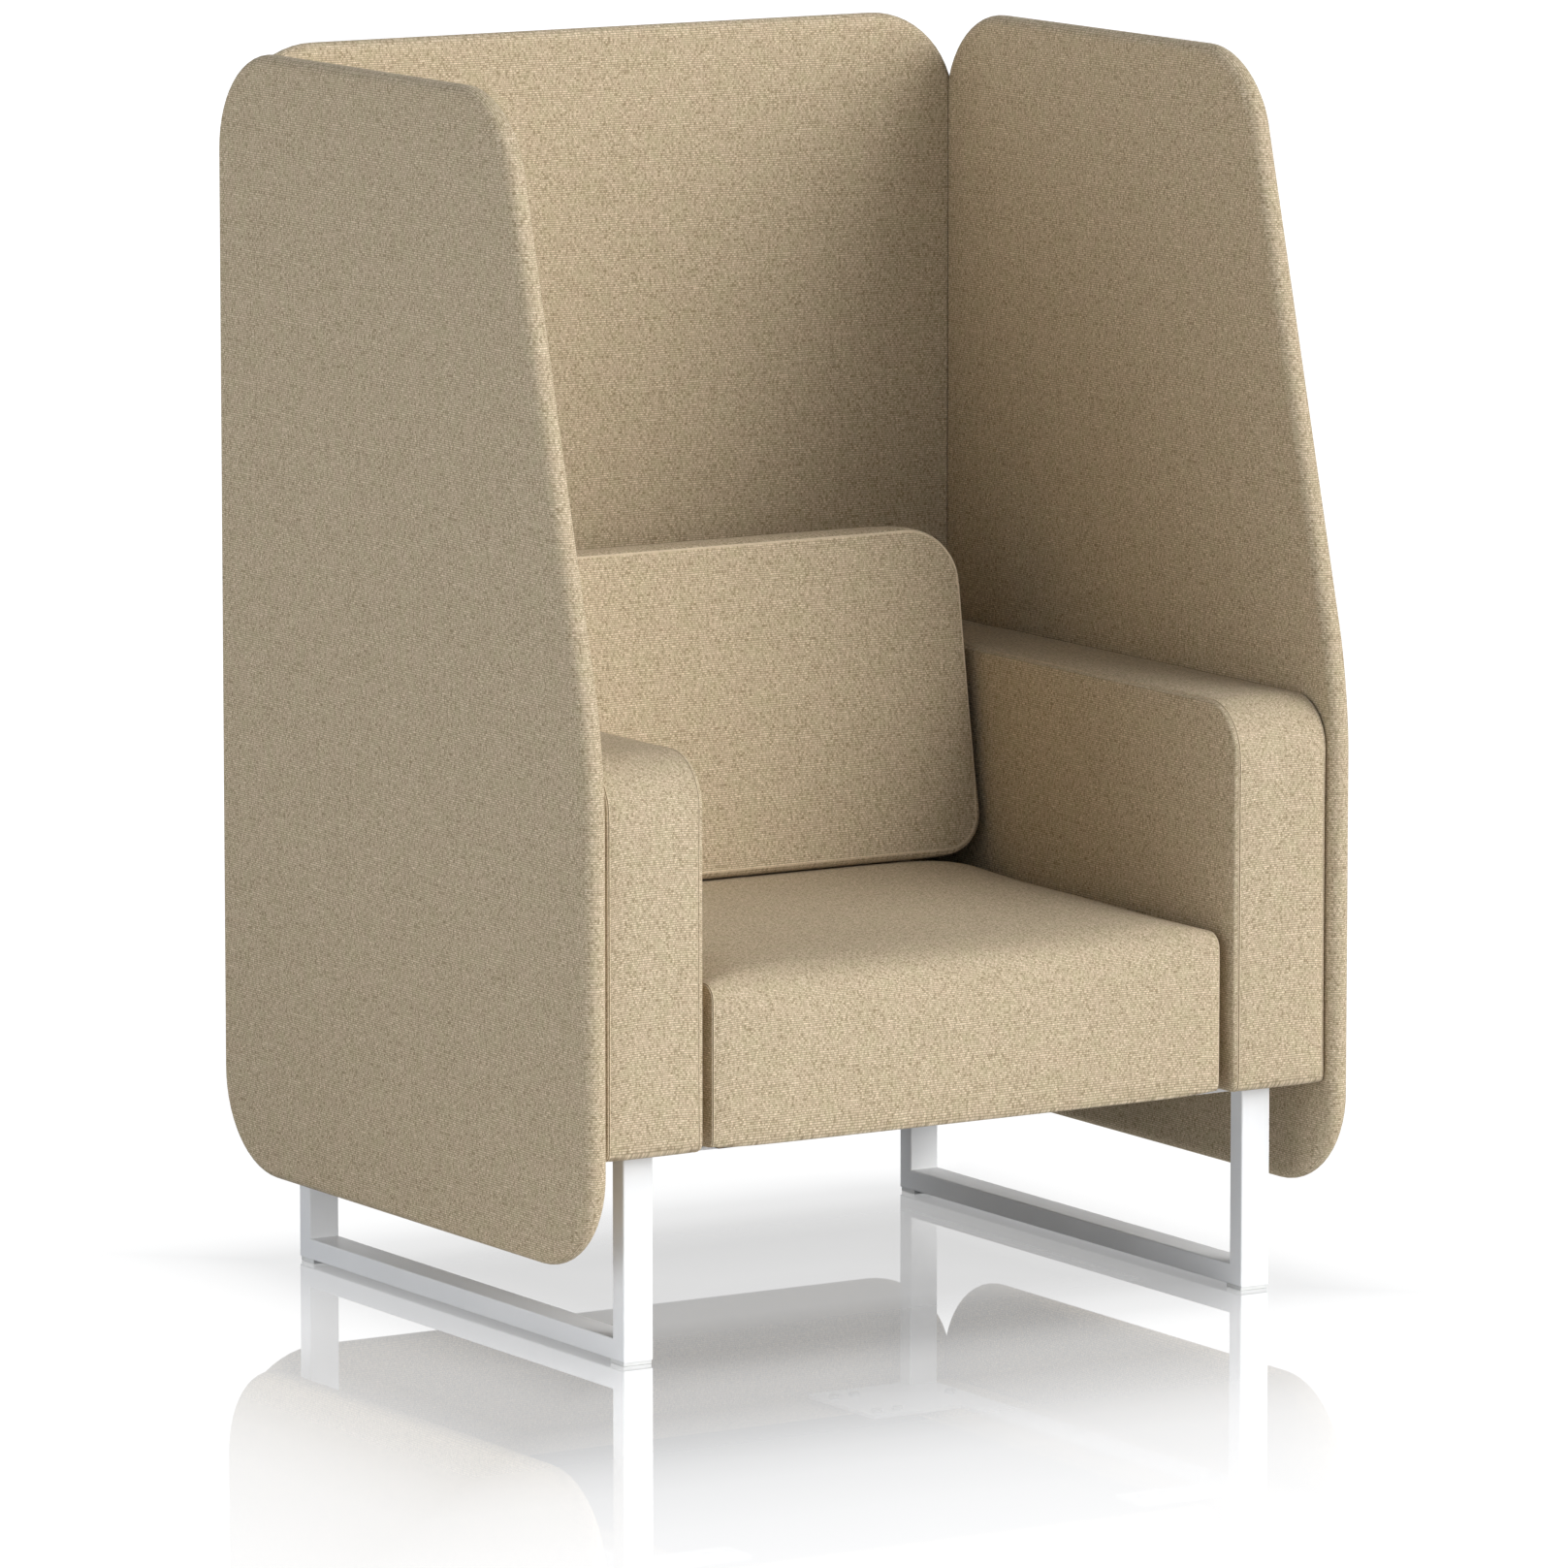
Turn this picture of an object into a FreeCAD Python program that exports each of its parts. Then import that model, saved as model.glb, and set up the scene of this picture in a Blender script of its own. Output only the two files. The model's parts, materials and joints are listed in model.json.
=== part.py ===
"""Privacy booth sofa: a deep upholstered seat between two box arms, walled in by three padded screens.

Millimetres. X runs across the booth, the sitter faces -Y, Z is up from the floor.
The origin is on the floor, midway between the screens and midway between the front and rear faces.
"""
import FreeCAD
import Part
import math
import os
import Sketcher
from FreeCAD import Vector

SIZES = {
    # whole booth
    "booth_width": 1052.6,
    "booth_depth": 877.3,
    "booth_height": 1465,
    # padded screens
    "screen_thickness": 28,
    "screen_floor_gap": 118,
    "screen_corner_radius": 120,
    "screen_knee_height": 719,
    "screen_lean": 15,
    "screen_knee_radius": 600,
    "screen_edge_flat": 0.4,
    "screen_mitre_gap": 1,
    "board_thickness": 18,
    "board_edge_foam": 15,
    # arms and back box
    "arm_width": 130,
    "arm_seam_height": 710,
    "arm_front_inset": 13.25,
    "arm_screen_gap": 1.8,
    "arm_nose_radius": 60,
    "arm_corner_radius": 9,
    "arm_crown": 5,
    "back_box_depth": 130,
    "back_box_side_gap": 1,
    "back_box_corner_radius": 14,
    "back_screen_gap": 2,
    "foam_thickness": 20,
    "base_cover": 9,
    "panel_thickness": 4,
    "post_width": 60,
    "rail_height": 45,
    # seat
    "seat_front_inset": 18.25,
    "seat_side_gap": 16.5,
    "seat_rear_gap": 1,
    "seat_seam_height": 442,
    "seat_crown": 25,
    "seat_front_crown": 5,
    "seat_base_crown": 4.5,
    "seat_nose_radius": 28,
    "seat_crest_nose_radius": 58,
    "seat_corner_radius": 7,
    "seat_dip_radius": 300,
    "seat_rail_width": 70,
    "seat_rail_height": 68,
    "deck_thickness": 12,
    "deck_vent_radius": 14,
    "dust_cover_thickness": 1,
    # loose back cushion
    "cushion_height": 395,
    "cushion_thickness": 140,
    "cushion_side_gap": 11,
    "cushion_side_taper": 6,
    "cushion_recline": 8.5,
    "cushion_top_radius": 70,
    "cushion_bottom_radius": 49,
    "cushion_side_crown": 5,
    "cushion_top_crown": 8,
    "cushion_foot_crown": 4,
    "cushion_panel_crown": 6,
    "cushion_panel_shoulder": 16,
    "cushion_panel_flat": 42,
    "cushion_rest_gap": 0.5,
    "cushion_lean_gap": 0.5,
    # leg frames
    "base_height": 247,
    "leg_side_inset": 48.5,
    "leg_front_inset": 55.25,
    "leg_rear_inset": 33,
    "tube_width": 40,
    "tube_depth": 25,
    "tube_wall": 2,
    "tube_edge_radius": 2,
    "plate_thickness": 4,
    "strip_width": 50,
    "tab_overlap": 80,
    "tab_setback": 3,
    "front_tab_depth": 60,
    "rear_tab_depth": 155,
    "tab_corner_radius": 6,
    "glide_width": 37,
    "glide_length": 30,
    "glide_height": 5,
    "glide_setback": 2,
    "glide_edge_radius": 1,
    "glide_stem_radius": 4,
    "glide_stem_length": 9,
    # fasteners
    "screw_radius": 3,
    "screw_head_radius": 6.5,
    "screw_head_height": 4,
    "screw_bite": 36,
    "screw_clearance": 0.3,
    "tab_hole_inset": 18,
    "tab_hole_spacing": 30,
    "strip_hole_inset": 85,
    "bolt_radius": 4,
    "bolt_head_radius": 6.5,
    "bolt_head_height": 8,
    "bolt_clearance": 0.25,
    "bolt_tip_inset": 2,
    "sleeve_radius": 8,
    "nut_barrel_radius": 5,
    "nut_barrel_length": 11,
    "nut_flange_radius": 11,
    "nut_flange_thickness": 1.5,
    "fixing_low_inset": 80,
    "fixing_high_inset": 90,
    "joint_low_inset": 150,
    "joint_high_inset": 150,
}

LAYOUT = {
    # planes across the booth, right-hand side
    "half_width": "Sizes.booth_width / 2",
    "screen_inner": "half_width - Sizes.screen_thickness",
    "screen_middle": "half_width - Sizes.screen_thickness / 2",
    "arm_outer": "screen_inner - Sizes.arm_screen_gap",
    "arm_inner": "arm_outer - Sizes.arm_width",
    "arm_core_outer": "arm_outer - Sizes.foam_thickness",
    "arm_core_inner": "arm_inner + Sizes.foam_thickness",
    "arm_frame_outer": "arm_core_outer - Sizes.panel_thickness",
    "arm_frame_inner": "arm_core_inner + Sizes.panel_thickness",
    "seat_half": "arm_inner - Sizes.seat_side_gap",
    "seat_core_half": "seat_half - Sizes.foam_thickness",
    "box_half": "arm_inner - Sizes.back_box_side_gap",
    "box_core_half": "box_half - Sizes.foam_thickness",
    "cushion_half": "arm_inner - Sizes.cushion_side_gap",
    "leg_outer": "arm_outer - Sizes.leg_side_inset",
    "leg_inner": "leg_outer - Sizes.tube_width",
    "leg_middle": "leg_outer - Sizes.tube_width / 2",
    "strip_inner": "leg_outer - Sizes.strip_width",
    "tab_inner": "seat_half - Sizes.tab_overlap",
    "board_inner": "screen_middle - Sizes.board_thickness / 2",
    "board_outer": "screen_middle + Sizes.board_thickness / 2",
    # planes from front to rear
    "front_face": "-Sizes.booth_depth / 2",
    "rear_face": "Sizes.booth_depth / 2",
    "back_screen_front": "rear_face - Sizes.screen_thickness",
    "back_screen_middle": "rear_face - Sizes.screen_thickness / 2",
    "back_board_front": "back_screen_middle - Sizes.board_thickness / 2",
    "back_board_rear": "back_screen_middle + Sizes.board_thickness / 2",
    "arm_front": "front_face + Sizes.arm_front_inset",
    "arm_rear": "back_screen_front - Sizes.back_screen_gap",
    "arm_core_front": "arm_front + Sizes.foam_thickness",
    "arm_core_rear": "arm_rear - Sizes.foam_thickness",
    "box_front": "arm_rear - Sizes.back_box_depth",
    "box_core_front": "box_front + Sizes.foam_thickness",
    "box_frame_front": "box_core_front + Sizes.panel_thickness",
    "box_frame_rear": "arm_core_rear - Sizes.panel_thickness",
    "seat_front": "front_face + Sizes.seat_front_inset",
    "seat_rear": "box_front - Sizes.seat_rear_gap",
    "seat_core_front": "seat_front + Sizes.foam_thickness",
    "seat_core_rear": "seat_rear - Sizes.foam_thickness",
    "leg_front": "front_face + Sizes.leg_front_inset",
    "leg_rear": "arm_rear - Sizes.leg_rear_inset",
    "front_tab_front": "leg_front + Sizes.tab_setback",
    "front_tab_rear": "front_tab_front + Sizes.front_tab_depth",
    "rear_tab_rear": "leg_rear - Sizes.tab_setback",
    "rear_tab_front": "rear_tab_rear - Sizes.rear_tab_depth",
    # heights
    "plate_bottom": "Sizes.base_height - Sizes.plate_thickness",
    "core_bottom": "Sizes.base_height + Sizes.base_cover",
    "core_top": "Sizes.arm_seam_height - Sizes.foam_thickness",
    "seat_frame_bottom": "Sizes.base_height + Sizes.dust_cover_thickness",
    "seat_frame_top": "seat_frame_bottom + Sizes.seat_rail_height",
    "deck_top": "seat_frame_top + Sizes.deck_thickness",
    "seat_crest": "Sizes.seat_seam_height + Sizes.seat_crown",
    # the loose cushion rests above the seat's crest and leans on the back box's top front edge
    "cushion_lift": "(Sizes.cushion_foot_crown + Sizes.cushion_rest_gap) / cos(Sizes.cushion_recline)",
    "cushion_bottom": "seat_crest + cushion_lift",
    "cushion_span": "Sizes.cushion_thickness + Sizes.cushion_panel_crown + Sizes.cushion_lean_gap",
    "cushion_drop": "cushion_span * sin(Sizes.cushion_recline)",
    "cushion_climb": "Sizes.arm_seam_height - cushion_bottom + cushion_drop",
    "cushion_front": "box_front - cushion_span * cos(Sizes.cushion_recline)"
                     " - cushion_climb * tan(Sizes.cushion_recline)",
}

document = FreeCAD.newDocument("privacy_booth_sofa")


def fill_sheet(name, cells):
    sheet = document.addObject("Spreadsheet::Sheet", name)
    for row, (alias, content) in enumerate(cells.items(), start=1):
        sheet.set(f"A{row}", alias)
        sheet.set(f"B{row}", content)
        sheet.setAlias(f"B{row}", alias)
    document.recompute()
    return sheet


sizes = fill_sheet("Sizes", {alias: str(value) for alias, value in SIZES.items()})
layout = fill_sheet("Layout", {alias: "=" + formula for alias, formula in LAYOUT.items()})
nodes = []


def number(expression):
    return float(layout.evalExpression(str(expression)))


def keep(label, piece):
    piece.Label = label
    nodes.append(piece)
    return piece


# Sketch outlines: each returns a function that draws it, held in place by the sheet

def hold(sketch, kind, curve, point, expression):
    index = sketch.addConstraint(Sketcher.Constraint(kind, -1, 1, curve, point, number(expression)))
    sketch.setExpression(f"Constraints[{index}]", expression)


def polygon(corners):
    def draw(sketch):
        first = sketch.GeometryCount
        places = [Vector(number(across), number(up), 0) for across, up in corners]
        for start, end in zip(places, places[1:] + places[:1]):
            sketch.addGeometry(Part.LineSegment(start, end))
        for step, (across, up) in enumerate(corners):
            following = first + (step + 1) % len(corners)
            sketch.addConstraint(Sketcher.Constraint("Coincident", first + step, 2, following, 1))
            hold(sketch, "DistanceX", first + step, 1, across)
            hold(sketch, "DistanceY", first + step, 1, up)
    return draw


def rectangle(left, right, low, high):
    return polygon([(left, low), (right, low), (right, high), (left, high)])


def circles(centres, radius):
    def draw(sketch):
        for across, up in centres:
            middle = Vector(number(across), number(up), 0)
            curve = sketch.addGeometry(Part.Circle(middle, Vector(0, 0, 1), number(radius)))
            hold(sketch, "DistanceX", curve, 3, across)
            hold(sketch, "DistanceY", curve, 3, up)
            index = sketch.addConstraint(Sketcher.Constraint("Radius", curve, number(radius)))
            sketch.setExpression(f"Constraints[{index}]", radius)
    return draw


# Bodies and their features

def body(name):
    part = document.addObject("PartDesign::Body", name)
    part.AllowCompound = True
    return part


def extrude(part, plane, start, end, *outlines, cut=False):
    """Add, or cut away, the outlines between two stations on the axis across the plane."""
    support = next(item for item in part.Origin.OriginFeatures if item.Role == plane)
    sketch = part.newObject("Sketcher::SketchObject", "outline")
    sketch.AttachmentSupport = [(support, "")]
    sketch.MapMode = "FlatFace"
    faces_backwards = plane == "XZ_Plane"
    offset = f"-({end})" if faces_backwards else start
    sketch.setExpression("AttachmentOffset.Base.z", offset)
    for draw in outlines:
        draw(sketch)
    feature = part.newObject("PartDesign::Pocket" if cut else "PartDesign::Pad", "cut" if cut else "pad")
    feature.Profile = sketch
    feature.setExpression("Length", f"({end}) - ({start})")
    feature.Reversed = cut
    return part


def fillet(part, radius, chosen):
    document.recompute()
    base = part.Tip
    names = [f"Edge{index}" for index, edge in enumerate(base.Shape.Edges, start=1) if chosen(edge)]
    feature = part.newObject("PartDesign::Fillet", "fillet")
    feature.Base = (base, names)
    feature.setExpression("Radius", radius)
    return part


def carve(label, base, *tools):
    """Cut each tool from the base in turn and leave the last result under the label."""
    for tool in tools:
        result = document.addObject("Part::Cut", f"{label}_cut")
        result.Base = base
        result.Tool = tool
        base = result
    return keep(label, base)


def mirror_left(piece):
    twin = document.addObject("Part::Mirroring", piece.Label.replace("right", "left"))
    twin.Source = piece
    twin.Normal = Vector(1, 0, 0)
    return keep(piece.Label.replace("right", "left"), twin)


def runs_along(edge, axis):
    box = edge.BoundBox
    spans = {"X": box.XLength, "Y": box.YLength, "Z": box.ZLength}
    length = spans.pop(axis)
    return length > 0.1 and max(spans.values()) < 0.001


def lies_across(edge, axis):
    box = edge.BoundBox
    return {"X": box.XLength, "Y": box.YLength, "Z": box.ZLength}[axis] < 0.001


def centre_near(edge, axis, expression):
    middle = edge.BoundBox.Center
    return abs({"X": middle.x, "Y": middle.y, "Z": middle.z}[axis] - number(expression)) < 0.01


# Upholstered forms: lofts through outlines of lines and arcs

# shares of the seat's half width where its outline is drawn, and the power of the curve its crown follows
SEAT_STATIONS = [-1, -0.96, -0.88, -0.75, -0.55, -0.3, 0, 0.3, 0.55, 0.75, 0.88, 0.96, 1]
CROWN_FLATNESS = 10
# share of a cushion panel's crown that is reached at its shoulder
SHOULDER_RISE = 0.65


def rounded_wire(corners, place):
    """Closed wire through (across, up, radius) corners, each rounded by an arc; place lifts it into space."""
    flat = [Vector(across, up, 0) for across, up, _ in corners]
    edges = []
    ends = []
    for index, (_, _, radius) in enumerate(corners):
        corner = flat[index]
        back = (flat[index - 1] - corner).normalize()
        ahead = (flat[(index + 1) % len(flat)] - corner).normalize()
        half_angle = back.getAngle(ahead) / 2
        reach = radius / math.tan(half_angle)
        inward = (back + ahead).normalize()
        crest = corner + inward * (radius / math.sin(half_angle) - radius)
        ends.append([place(corner + back * reach), place(crest), place(corner + ahead * reach)])
    for index, (start, crest, finish) in enumerate(ends):
        edges.append(Part.Arc(start, crest, finish).toShape())
        edges.append(Part.LineSegment(finish, ends[(index + 1) % len(ends)][0]).toShape())
    return Part.Wire(edges)


def across_x(station):
    return lambda point: Vector(station, point.x, point.y)


def across_y(station):
    return lambda point: Vector(point.x, station, point.y)


def soft_form(name, shape):
    form = document.addObject("Part::Feature", name)
    form.Shape = shape
    return form


def arm_outline(swell):
    """Side view of an arm, swollen outwards from its seam."""
    crown = sizes.arm_crown
    front = layout.arm_front - swell
    rear = layout.arm_rear - crown + swell
    low = sizes.base_height + crown - swell
    high = sizes.arm_seam_height + swell
    corner = sizes.arm_corner_radius + swell
    return [(front, low, corner), (rear, low, corner), (rear, high, corner),
            (front, high, sizes.arm_nose_radius + swell)]


def arm_form():
    seams = [layout.arm_inner, layout.arm_outer]
    middle = sum(seams) / len(seams)
    wires = [rounded_wire(arm_outline(0), across_x(seams[0])),
             rounded_wire(arm_outline(sizes.arm_crown), across_x(middle)),
             rounded_wire(arm_outline(0), across_x(seams[1]))]
    return soft_form("arm_form", Part.makeLoft(wires, True, False))


def back_box_outline(swell):
    """Front view of the back box, swollen outwards from its seam."""
    crown = sizes.arm_crown
    half = layout.box_half - crown + swell
    low = sizes.base_height + crown - swell
    high = sizes.arm_seam_height + swell
    corner = sizes.back_box_corner_radius + swell
    return [(-half, low, corner), (half, low, corner), (half, high, corner), (-half, high, corner)]


def back_box_form():
    seams = [layout.box_front, layout.arm_rear]
    middle = sum(seams) / len(seams)
    wires = [rounded_wire(back_box_outline(0), across_y(seams[0])),
             rounded_wire(back_box_outline(sizes.arm_crown), across_y(middle)),
             rounded_wire(back_box_outline(0), across_y(seams[1]))]
    return soft_form("back_box_form", Part.makeLoft(wires, True, False))


def seat_outline(fullness):
    """Side view of the seat where its cover has this share of the full crown."""
    front = layout.seat_front - sizes.seat_front_crown * fullness
    rear = layout.seat_rear
    low = sizes.base_height + sizes.seat_base_crown * (1 - fullness) + sizes.dust_cover_thickness / 2
    high = sizes.seat_seam_height + sizes.seat_crown * fullness
    dip = math.tan(math.radians(sizes.cushion_recline)) * (rear - layout.cushion_front)
    nose = sizes.seat_nose_radius * (1 - fullness) + sizes.seat_crest_nose_radius * fullness
    corner = sizes.seat_corner_radius
    return [(front, low, corner), (rear, low, corner), (rear, high - dip, corner),
            (layout.cushion_front, high, sizes.seat_dip_radius), (front, high, nose)]


def seat_form():
    """The cover rises steeply beside the seams and flattens towards the middle."""
    wires = []
    for share in SEAT_STATIONS:
        fullness = 1 - abs(share) ** CROWN_FLATNESS
        wires.append(rounded_wire(seat_outline(fullness), across_x(share * layout.seat_half)))
    return soft_form("seat_form", Part.makeLoft(wires, True, False))


def cushion_outline(fullness, inset):
    """Front view of the loose cushion in its own plane: swollen from its seam, or drawn in from it."""
    side_swell = sizes.cushion_side_crown * fullness - inset
    foot = inset - sizes.cushion_foot_crown * fullness
    top = sizes.cushion_height + sizes.cushion_top_crown * fullness - inset
    foot_half = layout.cushion_half - sizes.cushion_side_crown + side_swell
    top_half = foot_half - sizes.cushion_side_taper
    foot_radius = sizes.cushion_bottom_radius + side_swell
    top_radius = sizes.cushion_top_radius + side_swell
    return [(-foot_half, foot, foot_radius), (foot_half, foot, foot_radius),
            (top_half, top, top_radius), (-top_half, top, top_radius)]


def cushion_form():
    """A boxed cushion: a crowned band between two crowned panels."""
    thickness = sizes.cushion_thickness
    crown = sizes.cushion_panel_crown
    band = [rounded_wire(cushion_outline(fullness, 0), across_y(station))
            for station, fullness in [(0, 0), (thickness / 2, 1), (thickness, 0)]]
    rise = [(0, 0), (SHOULDER_RISE, sizes.cushion_panel_shoulder), (1, sizes.cushion_panel_flat)]
    front = [rounded_wire(cushion_outline(0, inset), across_y(-crown * share)) for share, inset in rise]
    rear = [rounded_wire(cushion_outline(0, inset), across_y(thickness + crown * share))
            for share, inset in rise]
    shells = [Part.makeLoft(wires, True, False) for wires in (band, front, rear)]
    cushion = soft_form("back_cushion", shells[0].fuse(shells[1:]))
    tilt = FreeCAD.Rotation(Vector(1, 0, 0), -sizes.cushion_recline)
    cushion.Placement = FreeCAD.Placement(Vector(0, layout.cushion_front, layout.cushion_bottom), tilt)
    return keep("back_cushion", cushion)


# Where fasteners sit, as expressions shared by every piece they pass through

LOW_FIXING = "Sizes.base_height + Sizes.fixing_low_inset"
HIGH_FIXING = "Sizes.arm_seam_height - Sizes.fixing_high_inset"
LOW_JOINT = "Sizes.base_height + Sizes.joint_low_inset"
HIGH_JOINT = "Sizes.arm_seam_height - Sizes.joint_high_inset"
FRONT_POST = "Layout.arm_core_front + Sizes.post_width / 2"
REAR_POST = "Layout.arm_core_rear - Sizes.post_width / 2"
BOX_POST = "Layout.box_core_half - Sizes.post_width / 2"
BOX_MIDDLE = "(Layout.box_frame_front + Layout.box_frame_rear) / 2"
SIDE_FIXINGS = [(post, height) for post in (FRONT_POST, REAR_POST) for height in (LOW_FIXING, HIGH_FIXING)]
BACK_FIXINGS = [(post, height) for post in (f"-({BOX_POST})", BOX_POST)
                for height in (LOW_FIXING, HIGH_FIXING)]
JOINT_FIXINGS = [(BOX_MIDDLE, height) for height in (LOW_JOINT, HIGH_JOINT)]

STRIP_SCREWS = [("Layout.leg_middle", station) for station in (
    "Layout.leg_front + Sizes.strip_hole_inset",
    "(Layout.leg_front + Layout.leg_rear) / 2",
    "Layout.leg_rear - Sizes.strip_hole_inset")]
TAB_COLUMNS = ["Layout.tab_inner + Sizes.tab_hole_inset",
               "Layout.tab_inner + Sizes.tab_hole_inset + Sizes.tab_hole_spacing"]
FRONT_TAB_ROW = "(Layout.front_tab_front + Layout.seat_core_front + Sizes.seat_rail_width) / 2"
SEAT_REAR_ROW = "(Layout.rear_tab_front + Layout.seat_core_rear) / 2"
BOX_ROW = "(Layout.box_frame_front + Layout.rear_tab_rear) / 2"
FRONT_TAB_SCREWS = [(column, FRONT_TAB_ROW) for column in TAB_COLUMNS]
SEAT_REAR_SCREWS = [(column, SEAT_REAR_ROW) for column in TAB_COLUMNS]
BOX_SCREWS = [(column, BOX_ROW) for column in TAB_COLUMNS]

BOLT_BORE = "Sizes.bolt_radius + Sizes.bolt_clearance"
SLEEVE_BORE = "Sizes.sleeve_radius + Sizes.bolt_clearance"
SCREW_BORE = "Sizes.screw_radius + Sizes.screw_clearance"


def both_sides(centres):
    return centres + [(f"-({across})", along) for across, along in centres]


# Leg frames, plates and glides

FLOOR = "0"
GLIDE_ROWS = {"front": "Layout.leg_front + Sizes.glide_setback + Sizes.glide_length / 2",
              "rear": "Layout.leg_rear - Sizes.glide_setback - Sizes.glide_length / 2"}


def u_outline(inset):
    """An upright, a floor rail and an upright, drawn in by the inset on every tube wall."""
    near = f"Layout.leg_front + {inset}"
    far = f"Layout.leg_rear - {inset}"
    low = f"Sizes.glide_height + {inset}"
    top = "Layout.plate_bottom"
    depth = f"Sizes.tube_depth - {inset}"
    return polygon([(near, top), (near, low), (far, low), (far, top),
                    (f"Layout.leg_rear - ({depth})", top),
                    (f"Layout.leg_rear - ({depth})", f"Sizes.glide_height + {depth}"),
                    (f"Layout.leg_front + {depth}", f"Sizes.glide_height + {depth}"),
                    (f"Layout.leg_front + {depth}", top)])


def leg_frame():
    frame = body("right_leg_frame")
    extrude(frame, "YZ_Plane", "Layout.leg_inner", "Layout.leg_outer", u_outline("0"))
    fillet(frame, "Sizes.tube_edge_radius",
           lambda edge: lies_across(edge, "X") and not centre_near(edge, "Z", "Layout.plate_bottom"))
    extrude(frame, "YZ_Plane", "Layout.leg_inner + Sizes.tube_wall", "Layout.leg_outer - Sizes.tube_wall",
            u_outline("Sizes.tube_wall"), cut=True)
    stems = [("Layout.leg_middle", row) for row in GLIDE_ROWS.values()]
    extrude(frame, "XY_Plane", "Sizes.glide_height", "Sizes.glide_height + Sizes.tube_wall",
            circles(stems, "Sizes.glide_stem_radius"), cut=True)
    return keep("right_leg_frame", frame)


def glide(end, row):
    foot = body(f"right_{end}_glide")
    half_width = "Sizes.glide_width / 2"
    half_length = "Sizes.glide_length / 2"
    extrude(foot, "XY_Plane", FLOOR, "Sizes.glide_height",
            rectangle(f"Layout.leg_middle - {half_width}", f"Layout.leg_middle + {half_width}",
                      f"{row} - {half_length}", f"{row} + {half_length}"))
    fillet(foot, "Sizes.glide_edge_radius", lambda edge: centre_near(edge, "Z", FLOOR))
    extrude(foot, "XY_Plane", "Sizes.glide_height", "Sizes.glide_height + Sizes.glide_stem_length",
            circles([("Layout.leg_middle", row)], "Sizes.glide_stem_radius"))
    return keep(f"right_{end}_glide", foot)


def plate(label, inner, outer, near, far, holes):
    """Flat steel plate with clearance holes for the screws."""
    steel = body(label)
    extrude(steel, "XY_Plane", "Layout.plate_bottom", "Sizes.base_height",
            rectangle(inner, outer, near, far), circles(holes, SCREW_BORE))
    return keep(label, steel)


def plates():
    strip = plate("right_mounting_strip", "Layout.strip_inner", "Layout.leg_outer",
                  "Layout.leg_front", "Layout.leg_rear", STRIP_SCREWS)
    tabs = [plate("right_front_tab", "Layout.tab_inner", "Layout.strip_inner",
                  "Layout.front_tab_front", "Layout.front_tab_rear", FRONT_TAB_SCREWS),
            plate("right_rear_tab", "Layout.tab_inner", "Layout.strip_inner",
                  "Layout.rear_tab_front", "Layout.rear_tab_rear", SEAT_REAR_SCREWS + BOX_SCREWS)]
    for tab in tabs:
        fillet(tab, "Sizes.tab_corner_radius",
               lambda edge: runs_along(edge, "Z") and centre_near(edge, "X", "Layout.tab_inner"))
    return [strip, *tabs]


def plate_screws():
    screws = body("right_plate_screws")
    centres = STRIP_SCREWS + FRONT_TAB_SCREWS + SEAT_REAR_SCREWS + BOX_SCREWS
    extrude(screws, "XY_Plane", "Layout.plate_bottom - Sizes.screw_head_height", "Layout.plate_bottom",
            circles(centres, "Sizes.screw_head_radius"))
    extrude(screws, "XY_Plane", "Layout.plate_bottom", "Layout.core_bottom + Sizes.screw_bite",
            circles(centres, "Sizes.screw_radius"))
    return keep("right_plate_screws", screws)


# Timber frames inside the upholstery

def arm_side_outline():
    return rectangle("Layout.arm_core_front", "Layout.arm_core_rear", "Layout.core_bottom", "Layout.core_top")


def arm_slab(name, start, end, *openings):
    """A board or frame with the arm's side outline and its rounded top front corner."""
    slab = body(name)
    extrude(slab, "YZ_Plane", start, end, arm_side_outline(), *openings)
    fillet(slab, "Sizes.arm_nose_radius - Sizes.foam_thickness",
           lambda edge: runs_along(edge, "X") and centre_near(edge, "Y", "Layout.arm_core_front")
           and centre_near(edge, "Z", "Layout.core_top"))
    return slab


def arm_frame():
    """Front, middle and rear posts between a top and a bottom rail."""
    low = "Layout.core_bottom + Sizes.rail_height"
    high = "Layout.core_top - Sizes.rail_height"
    middle = "(Layout.arm_core_front + Layout.arm_core_rear) / 2"
    half_post = "Sizes.post_width / 2"
    windows = [rectangle("Layout.arm_core_front + Sizes.post_width", f"{middle} - {half_post}", low, high),
               rectangle(f"{middle} + {half_post}", "Layout.arm_core_rear - Sizes.post_width", low, high)]
    frame = arm_slab("right_arm_frame", "Layout.arm_frame_inner", "Layout.arm_frame_outer", *windows)
    extrude(frame, "YZ_Plane", "Layout.arm_frame_inner", "Layout.arm_frame_outer",
            circles(SIDE_FIXINGS + JOINT_FIXINGS, BOLT_BORE), cut=True)
    head_room = "Sizes.bolt_head_radius + Sizes.bolt_clearance"
    extrude(frame, "YZ_Plane", "Layout.arm_frame_inner", "Layout.arm_frame_inner + Sizes.bolt_head_height",
            circles(SIDE_FIXINGS, head_room), cut=True)
    extrude(frame, "YZ_Plane", "Layout.arm_frame_outer - Sizes.bolt_head_height", "Layout.arm_frame_outer",
            circles(JOINT_FIXINGS, head_room), cut=True)
    extrude(frame, "XY_Plane", "Layout.core_bottom", "Layout.core_bottom + Sizes.screw_bite",
            circles(STRIP_SCREWS, "Sizes.screw_radius"), cut=True)
    return keep("right_arm_frame", frame)


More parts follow.
